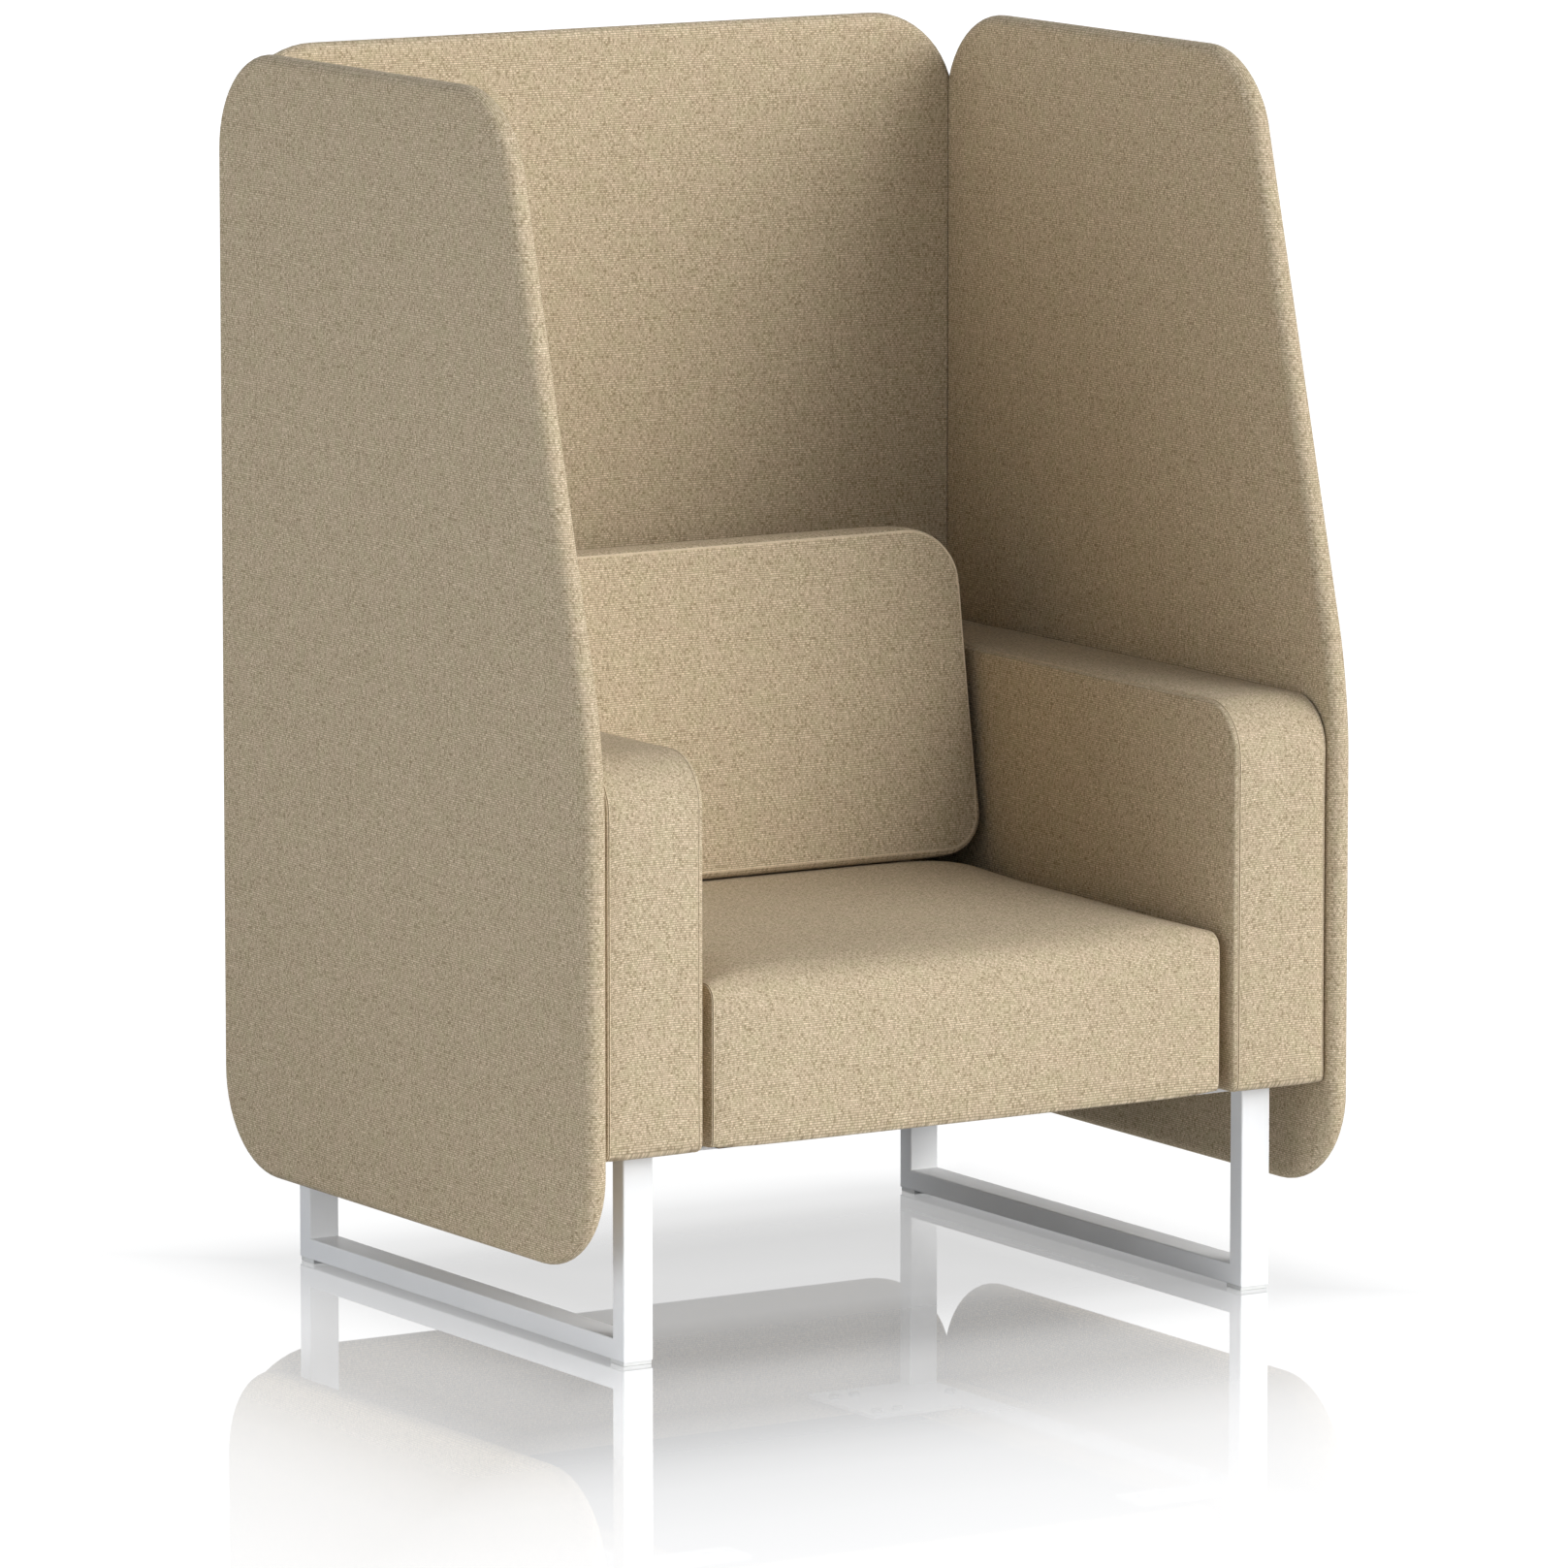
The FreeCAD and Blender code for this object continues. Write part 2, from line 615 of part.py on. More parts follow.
def arm_panels():
    inner = arm_slab("right_arm_inner_panel", "Layout.arm_core_inner", "Layout.arm_frame_inner",
                     circles(JOINT_FIXINGS, BOLT_BORE))
    outer = arm_slab("right_arm_outer_panel", "Layout.arm_frame_outer", "Layout.arm_core_outer",
                     circles(SIDE_FIXINGS, BOLT_BORE))
    return [keep("right_arm_inner_panel", inner), keep("right_arm_outer_panel", outer)]


def arm_pad():
    """Foam and cover round the arm frame, drilled where sleeves and screws pass through."""
    core = arm_slab("arm_core", "Layout.arm_core_inner", "Layout.arm_core_outer")
    bores = body("arm_bores")
    extrude(bores, "YZ_Plane", "Layout.arm_core_outer", "Layout.arm_outer",
            circles(SIDE_FIXINGS, SLEEVE_BORE))
    extrude(bores, "YZ_Plane", "Layout.arm_inner", "Layout.arm_core_inner",
            circles(JOINT_FIXINGS, SLEEVE_BORE))
    extrude(bores, "XY_Plane", "Layout.plate_bottom", "Layout.core_bottom",
            circles(STRIP_SCREWS, SCREW_BORE))
    return carve("right_arm_pad", arm_form(), core, bores)


def box_slab(name, start, end, *openings):
    slab = body(name)
    extrude(slab, "XZ_Plane", start, end,
            rectangle("-Layout.box_core_half", "Layout.box_core_half",
                      "Layout.core_bottom", "Layout.core_top"), *openings)
    return slab


def back_frame():
    """Two end posts and a middle post between rails, across the rear of the seat."""
    low = "Layout.core_bottom + Sizes.rail_height"
    high = "Layout.core_top - Sizes.rail_height"
    inner = "Layout.box_core_half - Sizes.post_width"
    half_post = "Sizes.post_width / 2"
    windows = [rectangle(f"-({inner})", f"-{half_post}", low, high), rectangle(half_post, inner, low, high)]
    frame = box_slab("back_frame", "Layout.box_frame_front", "Layout.box_frame_rear", *windows)
    extrude(frame, "XZ_Plane", "Layout.box_frame_front", "Layout.box_frame_rear",
            circles(BACK_FIXINGS, BOLT_BORE), cut=True)
    extrude(frame, "XZ_Plane", "Layout.box_frame_front", "Layout.box_frame_front + Sizes.bolt_head_height",
            circles(BACK_FIXINGS, "Sizes.bolt_head_radius + Sizes.bolt_clearance"), cut=True)
    for start, end in ((inner, "Layout.box_core_half"), ("-Layout.box_core_half", f"-({inner})")):
        extrude(frame, "YZ_Plane", start, end, circles(JOINT_FIXINGS, "Sizes.nut_barrel_radius"), cut=True)
    extrude(frame, "XY_Plane", "Layout.core_bottom", "Layout.core_bottom + Sizes.screw_bite",
            circles(both_sides(BOX_SCREWS), "Sizes.screw_radius"), cut=True)
    return keep("back_frame", frame)


def back_panels():
    front = box_slab("back_front_panel", "Layout.box_core_front", "Layout.box_frame_front")
    rear = box_slab("back_rear_panel", "Layout.box_frame_rear", "Layout.arm_core_rear",
                    circles(BACK_FIXINGS, BOLT_BORE))
    return [keep("back_front_panel", front), keep("back_rear_panel", rear)]


def back_pad():
    core = box_slab("back_core", "Layout.box_core_front", "Layout.arm_core_rear")
    bores = body("back_bores")
    extrude(bores, "XZ_Plane", "Layout.arm_core_rear", "Layout.arm_rear", circles(BACK_FIXINGS, SLEEVE_BORE))
    for start, end in (("Layout.box_core_half", "Layout.box_half"),
                       ("-Layout.box_half", "-Layout.box_core_half")):
        extrude(bores, "YZ_Plane", start, end, circles(JOINT_FIXINGS, SLEEVE_BORE))
    extrude(bores, "XY_Plane", "Layout.plate_bottom", "Layout.core_bottom",
            circles(both_sides(BOX_SCREWS), SCREW_BORE))
    return carve("back_pad", back_box_form(), core, bores)


# Seat

def seat_block(name, low, high, *openings):
    block = body(name)
    extrude(block, "XY_Plane", low, high,
            rectangle("-Layout.seat_core_half", "Layout.seat_core_half",
                      "Layout.seat_core_front", "Layout.seat_core_rear"), *openings)
    return block


def seat_frame():
    """Front, rear and end rails with a middle bearer."""
    side = "Layout.seat_core_half - Sizes.seat_rail_width"
    near = "Layout.seat_core_front + Sizes.seat_rail_width"
    far = "Layout.seat_core_rear - Sizes.seat_rail_width"
    half_bearer = "Sizes.seat_rail_width / 2"
    windows = [rectangle(f"-({side})", f"-{half_bearer}", near, far), rectangle(half_bearer, side, near, far)]
    frame = seat_block("seat_frame", "Layout.seat_frame_bottom", "Layout.seat_frame_top", *windows)
    extrude(frame, "XY_Plane", "Layout.seat_frame_bottom", "Layout.core_bottom + Sizes.screw_bite",
            circles(both_sides(FRONT_TAB_SCREWS + SEAT_REAR_SCREWS), "Sizes.screw_radius"), cut=True)
    return keep("seat_frame", frame)


def seat_deck():
    """Plywood deck with vent holes that let the foam breathe."""
    columns = [f"Layout.seat_core_half * {share}" for share in (-0.6, -0.3, 0.3, 0.6)]
    depth = "(Layout.seat_core_rear - Layout.seat_core_front)"
    rows = [f"Layout.seat_core_front + {depth} * {share}" for share in (0.25, 0.5, 0.75)]
    vents = [(column, row) for column in columns for row in rows]
    deck = seat_block("seat_deck", "Layout.seat_frame_top", "Layout.deck_top",
                      circles(vents, "Sizes.deck_vent_radius"))
    return keep("seat_deck", deck)


def seat_dust_cover():
    cover = seat_block("seat_dust_cover", "Sizes.base_height", "Layout.seat_frame_bottom",
                       circles(both_sides(FRONT_TAB_SCREWS + SEAT_REAR_SCREWS), SCREW_BORE))
    return keep("seat_dust_cover", cover)


def seat_cushion():
    core = seat_block("seat_core", "Layout.plate_bottom", "Layout.deck_top")
    return carve("seat_cushion", seat_form(), core)


# Screens

def side_screen_slab(name, start, end, inset, *openings):
    """Side screen outline: upright at the front, then leaning back above the knee."""
    near = f"Layout.front_face + {inset}"
    far = f"Layout.back_screen_middle - {inset}"
    low = f"Sizes.screen_floor_gap + {inset}"
    high = f"Sizes.booth_height - {inset}"
    knee = f"Sizes.screen_knee_height - {inset} * tan(Sizes.screen_lean / 2)"
    lean = f"{near} + ({high} - ({knee})) * tan(Sizes.screen_lean)"
    slab = body(name)
    extrude(slab, "YZ_Plane", start, end,
            polygon([(near, low), (far, low), (far, high), (lean, high), (near, knee)]), *openings)
    fillet(slab, f"Sizes.screen_corner_radius - {inset}",
           lambda edge: runs_along(edge, "X") and not centre_near(edge, "Z", knee))
    fillet(slab, f"Sizes.screen_knee_radius - {inset}",
           lambda edge: runs_along(edge, "X") and centre_near(edge, "Z", knee))
    return slab


def back_screen_slab(name, start, end, inset):
    half = f"Layout.screen_middle - {inset}"
    slab = body(name)
    extrude(slab, "XZ_Plane", start, end,
            rectangle(f"-({half})", half,
                      f"Sizes.screen_floor_gap + {inset}", f"Sizes.booth_height - {inset}"))
    fillet(slab, f"Sizes.screen_corner_radius - {inset}", lambda edge: runs_along(edge, "Y"))
    return slab


def round_over(slab, axis):
    """Full round all along the edge of a screen."""
    return fillet(slab, "(Sizes.screen_thickness - Sizes.screen_edge_flat) / 2",
                  lambda edge: lies_across(edge, axis))


def mitre(name, side_part):
    """Wedge that trims a screen on the diagonal where side and back screens press together."""
    gap = "Sizes.screen_mitre_gap / sqrt(2)"
    shift = "Layout.screen_middle - Layout.back_screen_middle"
    shift = f"{shift} + {gap}" if side_part else f"{shift} - {gap}"
    near = "Layout.screen_inner - Sizes.screen_thickness"
    far = "Layout.half_width + Sizes.screen_thickness"
    third = (near, f"{far} - ({shift})") if side_part else (far, f"{near} - ({shift})")
    wedge = body(name)
    extrude(wedge, "XY_Plane", "Sizes.screen_floor_gap - Sizes.screen_thickness",
            "Sizes.booth_height + Sizes.screen_thickness",
            polygon([(near, f"{near} - ({shift})"), (far, f"{far} - ({shift})"), third]))
    return wedge


def nut_bores(name, plane, fixings, barrel, flange):
    bores = body(name)
    extrude(bores, plane, *barrel, circles(fixings, "Sizes.nut_barrel_radius"))
    extrude(bores, plane, *flange, circles(fixings, "Sizes.nut_flange_radius"))
    return bores


def side_screen():
    blank = side_screen_slab("side_board_blank", "Layout.board_inner", "Layout.board_outer",
                             "Sizes.board_edge_foam")
    seat_of_flange = "Layout.board_outer - Sizes.nut_flange_thickness"
    nuts = nut_bores("side_nut_bores", "YZ_Plane", SIDE_FIXINGS,
                     ("Layout.board_inner", "Layout.board_outer"), (seat_of_flange, "Layout.board_outer"))
    board = carve("right_screen_board", blank, nuts)
    slab = side_screen_slab("side_screen_slab", "Layout.screen_inner", "Layout.half_width", "0")
    round_over(slab, "X")
    bores = body("side_screen_bores")
    extrude(bores, "YZ_Plane", "Layout.screen_inner", "Layout.board_inner",
            circles(SIDE_FIXINGS, SLEEVE_BORE))
    pad = carve("right_screen_pad", slab, blank, bores, mitre("side_mitre", True))
    return [board, pad]


def back_screen():
    blank = back_screen_slab("back_board_blank", "Layout.back_board_front", "Layout.back_board_rear",
                             "Sizes.board_edge_foam")
    seat_of_flange = "Layout.back_board_rear - Sizes.nut_flange_thickness"
    nuts = nut_bores("back_nut_bores", "XZ_Plane", BACK_FIXINGS,
                     ("Layout.back_board_front", "Layout.back_board_rear"),
                     (seat_of_flange, "Layout.back_board_rear"))
    carve("back_screen_board", blank, nuts)
    slab = back_screen_slab("back_screen_slab", "Layout.back_screen_front", "Layout.rear_face", "0")
    round_over(slab, "Y")
    bores = body("back_screen_bores")
    extrude(bores, "XZ_Plane", "Layout.back_screen_front", "Layout.back_board_front",
            circles(BACK_FIXINGS, SLEEVE_BORE))
    right_mitre = mitre("back_right_mitre", False)
    left_mitre = document.addObject("Part::Mirroring", "back_left_mitre")
    left_mitre.Source = right_mitre
    left_mitre.Normal = Vector(1, 0, 0)
    carve("back_screen_pad", slab, blank, bores, right_mitre, left_mitre)


# Bolts, sleeves and tee nuts; stations run from the bolt head to the nut

def bolts(label, plane, fixings, head, shank):
    group = body(label)
    extrude(group, plane, *head, circles(fixings, "Sizes.bolt_head_radius"))
    extrude(group, plane, *shank, circles(fixings, "Sizes.bolt_radius"))
    return keep(label, group)


def sleeves(label, plane, fixings, start, end):
    group = body(label)
    extrude(group, plane, start, end, circles(fixings, "Sizes.sleeve_radius"), circles(fixings, BOLT_BORE))
    return keep(label, group)


def tee_nuts(label, plane, fixings, barrel, flange):
    group = body(label)
    extrude(group, plane, *barrel, circles(fixings, "Sizes.nut_barrel_radius"),
            circles(fixings, "Sizes.bolt_radius"))
    extrude(group, plane, *flange, circles(fixings, "Sizes.nut_flange_radius"),
            circles(fixings, "Sizes.bolt_radius"))
    return keep(label, group)


def side_screen_fixings():
    head_end = "Layout.arm_frame_inner + Sizes.bolt_head_height"
    flange = "Layout.board_outer - Sizes.nut_flange_thickness"
    return [bolts("right_screen_bolts", "YZ_Plane", SIDE_FIXINGS, ("Layout.arm_frame_inner", head_end),
                  (head_end, "Layout.board_outer - Sizes.bolt_tip_inset")),
            sleeves("right_screen_sleeves", "YZ_Plane", SIDE_FIXINGS,
                    "Layout.arm_core_outer", "Layout.board_inner"),
            tee_nuts("right_screen_tee_nuts", "YZ_Plane", SIDE_FIXINGS,
                     (f"{flange} - Sizes.nut_barrel_length", flange), (flange, "Layout.board_outer"))]


def back_screen_fixings():
    head_end = "Layout.box_frame_front + Sizes.bolt_head_height"
    flange = "Layout.back_board_rear - Sizes.nut_flange_thickness"
    bolts("back_screen_bolts", "XZ_Plane", BACK_FIXINGS, ("Layout.box_frame_front", head_end),
          (head_end, "Layout.back_board_rear - Sizes.bolt_tip_inset"))
    sleeves("back_screen_sleeves", "XZ_Plane", BACK_FIXINGS,
            "Layout.arm_core_rear", "Layout.back_board_front")
    tee_nuts("back_screen_tee_nuts", "XZ_Plane", BACK_FIXINGS,
             (f"{flange} - Sizes.nut_barrel_length", flange), (flange, "Layout.back_board_rear"))


def joint_fixings():
    """Long bolts that tie each arm frame to the end post of the back frame."""
    head_start = "Layout.arm_frame_outer - Sizes.bolt_head_height"
    post_face = "Layout.box_core_half - Sizes.post_width"
    return [bolts("right_joint_bolts", "YZ_Plane", JOINT_FIXINGS, (head_start, "Layout.arm_frame_outer"),
                  (f"{post_face} - Sizes.nut_flange_thickness", head_start)),
            sleeves("right_joint_sleeves", "YZ_Plane", JOINT_FIXINGS,
                    "Layout.box_core_half", "Layout.arm_core_inner"),
            tee_nuts("right_joint_tee_nuts", "YZ_Plane", JOINT_FIXINGS,
                     (post_face, f"{post_face} + Sizes.nut_barrel_length"),
                     (f"{post_face} - Sizes.nut_flange_thickness", post_face))]


def build():
    right_hand = [leg_frame(), *plates(), plate_screws()]
    right_hand += [glide(end, row) for end, row in GLIDE_ROWS.items()]
    right_hand += [arm_frame(), *arm_panels(), arm_pad()]
    right_hand += [*side_screen(), *side_screen_fixings(), *joint_fixings()]
    for piece in right_hand:
        mirror_left(piece)
    seat_frame()
    seat_deck()
    seat_dust_cover()
    seat_cushion()
    back_frame()
    back_panels()
    back_pad()
    cushion_form()
    back_screen()
    back_screen_fixings()
    document.recompute()


def check():
    for item in document.Objects:
        if "Invalid" in item.State or "Error" in item.State:
            raise RuntimeError(f"{item.Label} did not rebuild: {item.State}")
        if item.TypeId == "PartDesign::Pocket" and item.Shape.Volume >= item.BaseFeature.Shape.Volume:
            raise RuntimeError(f"{item.Label} in {item.getParentGeoFeatureGroup().Label} cuts nothing")
    for piece in nodes:
        if piece.Shape.isNull() or not piece.Shape.isValid():
            raise RuntimeError(f"{piece.Label} has no sound shape")


def write():
    os.makedirs("parts", exist_ok=True)
    for piece in nodes:
        piece.Shape.exportStep(os.path.join("parts", f"{piece.Label}.step"))
    print(f"{len(nodes)} pieces written")


build()
check()
write()
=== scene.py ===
# %% [markdown]
# # A privacy booth sofa, dressed over its CAD frame
# The booth is a deep seat between two box arms, walled in by three tall padded screens in one beige
# cloth, on white steel sled legs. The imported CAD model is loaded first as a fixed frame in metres. The
# steel stays as it is and gets paint; every padded piece is modelled again here with its seams, because
# foam under cloth is never as plain as a solid.

import json
import math

import bmesh
import bpy
import numpy
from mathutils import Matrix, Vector

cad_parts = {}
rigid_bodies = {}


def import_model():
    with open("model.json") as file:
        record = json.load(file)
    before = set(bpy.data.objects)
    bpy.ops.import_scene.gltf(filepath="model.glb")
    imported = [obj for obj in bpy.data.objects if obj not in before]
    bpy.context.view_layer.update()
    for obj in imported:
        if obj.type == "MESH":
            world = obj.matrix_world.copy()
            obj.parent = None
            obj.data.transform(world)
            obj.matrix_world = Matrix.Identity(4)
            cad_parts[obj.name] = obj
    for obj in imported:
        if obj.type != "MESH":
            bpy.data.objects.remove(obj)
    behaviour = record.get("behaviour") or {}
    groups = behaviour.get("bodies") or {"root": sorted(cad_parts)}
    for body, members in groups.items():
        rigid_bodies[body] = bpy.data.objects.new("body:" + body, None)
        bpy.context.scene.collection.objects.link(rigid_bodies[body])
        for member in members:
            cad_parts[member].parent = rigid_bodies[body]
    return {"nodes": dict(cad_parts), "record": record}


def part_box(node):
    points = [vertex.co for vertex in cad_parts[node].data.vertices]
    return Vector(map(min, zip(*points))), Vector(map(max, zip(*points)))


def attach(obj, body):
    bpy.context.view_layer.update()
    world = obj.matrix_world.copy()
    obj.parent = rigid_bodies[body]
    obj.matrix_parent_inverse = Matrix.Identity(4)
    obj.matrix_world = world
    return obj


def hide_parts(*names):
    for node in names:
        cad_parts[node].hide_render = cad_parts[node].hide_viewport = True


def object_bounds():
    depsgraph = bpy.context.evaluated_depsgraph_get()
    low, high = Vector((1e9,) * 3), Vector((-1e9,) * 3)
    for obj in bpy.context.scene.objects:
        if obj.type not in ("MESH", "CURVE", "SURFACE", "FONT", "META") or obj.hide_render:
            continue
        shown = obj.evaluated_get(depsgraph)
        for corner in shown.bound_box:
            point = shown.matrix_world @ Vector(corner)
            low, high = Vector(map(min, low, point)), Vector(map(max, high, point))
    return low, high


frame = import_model()
cad_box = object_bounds()


def rounded_box(corners):
    return [tuple(round(side, 4) for side in corner) for corner in corners]


print("frame:", len(frame["nodes"]), "nodes, box", rounded_box(cad_box))

# %% [markdown]
# ## Camera
# The photograph was taken from far away with a long lens, a little above the seat and round to the left,
# so upright edges stay parallel. The same distance and lens are used here, and the lens isn't shifted.

# %% Camera
CAMERA_PLACE = Vector((-7.2424, -11.7184, 2.7039))
CAMERA_AIM = Vector((-0.2309, -0.3834, 0.6621))
bpy.ops.object.select_all(action="DESELECT")
bpy.ops.object.camera_add(location=CAMERA_PLACE)
camera = bpy.context.object
camera.name = "photo_camera"
camera.rotation_euler = (CAMERA_AIM - CAMERA_PLACE).to_track_quat("-Z", "Y").to_euler()
camera.data.lens = 268.6
camera.data.sensor_width = 36
camera.data.clip_end = 200
bpy.context.scene.camera = camera
print("camera is", round((CAMERA_AIM - CAMERA_PLACE).length, 2), "m from the booth")

# %% [markdown]
# ## Shader maths
# A material is a chain of nodes. Written as Python expressions it can be read like a formula: this class
# wraps one socket, an operator on two signals adds a Math node, and `node` adds any other node with its
# settings and sockets.

# %% Signals
class Signal:
    """One socket of a material, on which Python's operators stand for Math nodes."""

    def __init__(self, tree, socket=None):
        self.tree = tree
        self.socket = socket

    def node(self, kind, settings=None, sockets=None, output=0):
        made = self.tree.nodes.new(kind)
        for name, value in (settings or {}).items():
            if name == "stops":
                while len(made.color_ramp.elements) < len(value):
                    made.color_ramp.elements.new(0.5)
                for element, (position, colour) in zip(made.color_ramp.elements, value):
                    element.position = position
                    element.color = colour
            else:
                setattr(made, name, value)
        for name, value in (sockets or {}).items():
            if isinstance(value, Signal):
                self.tree.links.new(value.socket, made.inputs[name])
            else:
                made.inputs[name].default_value = value
        return Signal(self.tree, made.outputs[output])

    def output(self, name):
        return Signal(self.tree, self.socket.node.outputs[name])

    def maths(self, operation, *values):
        return self.node("ShaderNodeMath", {"operation": operation}, dict(enumerate(values)))

    def __add__(self, other):
        return self.maths("ADD", self, other)

    def __radd__(self, other):
        return self.maths("ADD", other, self)

    def __sub__(self, other):
        return self.maths("SUBTRACT", self, other)

    def __rsub__(self, other):
        return self.maths("SUBTRACT", other, self)

    def __mul__(self, other):
        return self.maths("MULTIPLY", self, other)

    def __rmul__(self, other):
        return self.maths("MULTIPLY", other, self)

    def __truediv__(self, other):
        return self.maths("DIVIDE", self, other)


# %% Small helpers for every finish
def paint(red, green, blue):
    """A colour as it is read off a screen, 0 to 255, turned into the linear light that shaders use."""
    def line(part):
        share = part / 255
        return share / 12.92 if share <= 0.04045 else ((share + 0.055) / 1.055) ** 2.4
    return (line(red), line(green), line(blue), 1)


def blend(amount, first, second):
    """Mix two colours; the numbers are the Mix node's colour sockets."""
    return amount.node("ShaderNodeMix", {"data_type": "RGBA"}, {0: amount, 6: first, 7: second}, 2)


def noise(place, scale, detail=2, dimensions="3D"):
    return place.node("ShaderNodeTexNoise", {"noise_dimensions": dimensions},
                      {"Vector": place, "Scale": scale, "Detail": detail})


def stretched(place, x, y, z):
    return place.node("ShaderNodeVectorMath", {"operation": "MULTIPLY"}, {0: place, 1: (x, y, z)})


def bumped(height, distance, strength):
    return height.node("ShaderNodeBump", {}, {"Height": height, "Distance": distance, "Strength": strength})


def finish(name):
    """A new material with its shader, and a signal to start its maths from."""
    material = bpy.data.materials.new(name)
    material.use_nodes = True
    shader = material.node_tree.nodes["Principled BSDF"]
    return material, shader, Signal(material.node_tree)


def connect(signal, shader, socket):
    signal.tree.links.new(signal.socket, shader.inputs[socket])


# %% [markdown]
# ## Beige heathered cloth
# The cover is a wool-like plain weave: thread rows two and a half millimetres apart that run level round
# every piece, stepping over and under the threads that cross them. Each row is made of pale and darker
# slubs a few millimetres long, with dark shade between the rows. Yarns of slightly pinker and greener
# beige drift through it in soft patches. The weave reads a UV map in metres that is laid on each piece
# after it is shaped, so the rows can follow a cover over its rounded nose. Where two panels are sewn
# together, the seam is a line of painted shade in its groove, between folded edges lightened by a painted
# highlight.

# %% Cloth
ROW_PITCH = 0.00255
COLUMN_PITCH = 0.0026
ROW_WAVER = 0.0022
SLUB_LENGTH = 0.0032
ROW_STEP = 5.37

cloth, cloth_shader, start = finish("heathered_cloth")
lie = start.node("ShaderNodeUVMap", {"uv_map": "weave"})
axes = start.node("ShaderNodeSeparateXYZ", {}, {"Vector": lie})
waver = noise(lie, 14, 2, "2D") - 0.5
level = (axes.output("Y") + waver * ROW_WAVER) / ROW_PITCH
row = level.maths("FLOOR", level)
in_row = (level - row) * 2 - 1
along = axes.output("X") / COLUMN_PITCH + row * 0.5
in_column = (along - along.maths("FLOOR", along)) * 2 - 1
thread = (1 - in_row * in_row) * (1 - in_column * in_column * 0.35)
slub_place = start.node("ShaderNodeCombineXYZ", {},
                        {"X": axes.output("X") / SLUB_LENGTH, "Y": row * ROW_STEP})
slub = noise(slub_place, 1, 2, "2D")
yarn = start.node("ShaderNodeValToRGB", {"stops": [
    (0.26, paint(161, 142, 112)), (0.45, paint(208, 190, 159)), (0.57, paint(221, 202, 171)),
    (0.76, paint(250, 232, 203))]}, {"Fac": slub})
shade = paint(125, 108, 80)
woven = blend(thread * 0.75 + 0.25, shade, yarn)
drift = noise(lie, 32, 2, "2D")
pinker = start.node("ShaderNodeMapRange", {}, {"Value": drift, "From Min": 0.50, "From Max": 0.72})
greener = start.node("ShaderNodeMapRange", {}, {"Value": drift, "From Min": 0.50, "From Max": 0.28})
tinted = blend(pinker * 0.16, woven, paint(208, 182, 158))
tinted = blend(greener * 0.16, tinted, paint(192, 184, 144))
# Seam marks from sewn(): they paint light and shade along every seam, not the cloth's own colour.
seam = start.node("ShaderNodeAttribute", {"attribute_name": "welt"}, output="Fac")
# Painted highlight: the raised seam edges, and the cushion's pale groove, are lightened.
tinted = blend(seam.maths("MAXIMUM", seam, 0) * 0.75, tinted, paint(240, 221, 190))
# Painted shade: the seam groove is darkened.
tinted = blend(seam.maths("MAXIMUM", seam * -1, 0) * 0.6, tinted, paint(100, 84, 60))
connect(tinted, cloth_shader, "Base Color")
connect(0.96 - thread * 0.14, cloth_shader, "Roughness")
connect(bumped(thread * 0.6 + slub * 0.6, 0.0008, 0.25), cloth_shader, "Normal")
cloth_shader.inputs["Specular IOR Level"].default_value = 0.15
cloth_shader.inputs["Sheen Weight"].default_value = 0.06
cloth_shader.inputs["Sheen Roughness"].default_value = 0.5
print("cloth:", round(1 / ROW_PITCH), "thread rows to the metre")

# %% [markdown]
# ## Painted steel, plastic and hidden stuff
# The sled legs have a white satin powder coat: nearly flat colour, but with the fine orange peel that
# baked powder leaves. Inside the cushions are planed softwood, sanded plywood and raw fibreboard,
# zinc-plated fasteners, and a black dust cloth under the seat. They are hardly seen, yet each gets its
# own grain, because parts of the booth may be looked at alone.

# %% White powder coat
steel, steel_shader, start = finish("white_powder_coat")
place = start.node("ShaderNodeTexCoord", output="Object")
peel = noise(place, 420, 2)
dust = noise(place, 9, 4)
connect(blend(dust, paint(242, 242, 241), paint(250, 250, 250)), steel_shader, "Base Color")
connect(0.30 + peel * 0.16, steel_shader, "Roughness")
connect(bumped(peel, 0.0004, 0.10), steel_shader, "Normal")

# %% Zinc, plastic and dust cloth
zinc, zinc_shader, start = finish("bright_zinc")
place = start.node("ShaderNodeTexCoord", output="Object")
spangle = noise(place, 260, 3)
connect(blend(spangle, paint(176, 178, 182), paint(214, 214, 212)), zinc_shader, "Base Color")
connect(0.24 + spangle * 0.22, zinc_shader, "Roughness")
zinc_shader.inputs["Metallic"].default_value = 1

glide_plastic, glide_shader, start = finish("pale_plastic")
place = start.node("ShaderNodeTexCoord", output="Object")
grain = noise(place, 700, 2)
scuff = noise(place, 60, 4)
connect(blend(scuff, paint(214, 214, 211), paint(232, 232, 229)), glide_shader, "Base Color")
connect(0.45 + scuff * 0.25, glide_shader, "Roughness")
connect(bumped(grain, 0.0002, 0.2), glide_shader, "Normal")

dust_cloth, dust_shader, start = finish("black_dust_cloth")
place = start.node("ShaderNodeTexCoord", output="Object")
felt = noise(place, 800, 4)
connect(blend(felt, paint(22, 22, 23), paint(52, 52, 53)), dust_shader, "Base Color")
connect(0.80 + felt * 0.18, dust_shader, "Roughness")
connect(bumped(felt, 0.0004, 0.5), dust_shader, "Normal")


# %% Wood inside the cushions
def wood(name, stretch, early, late, roughness):
    """Fibres drawn out along one axis, in two tones."""
    material, shader, start = finish(name)
    place = start.node("ShaderNodeTexCoord", output="Object")
    fibre = noise(stretched(place, *stretch), 1, 5)
    rings = noise(stretched(place, *(part * 0.2 for part in stretch)), 1, 2)
    connect(blend(fibre * 0.6 + rings * 0.4, paint(*early), paint(*late)), shader, "Base Color")
    connect(roughness + fibre * 0.15, shader, "Roughness")
    connect(bumped(fibre, 0.0006, 0.3), shader, "Normal")
    return material


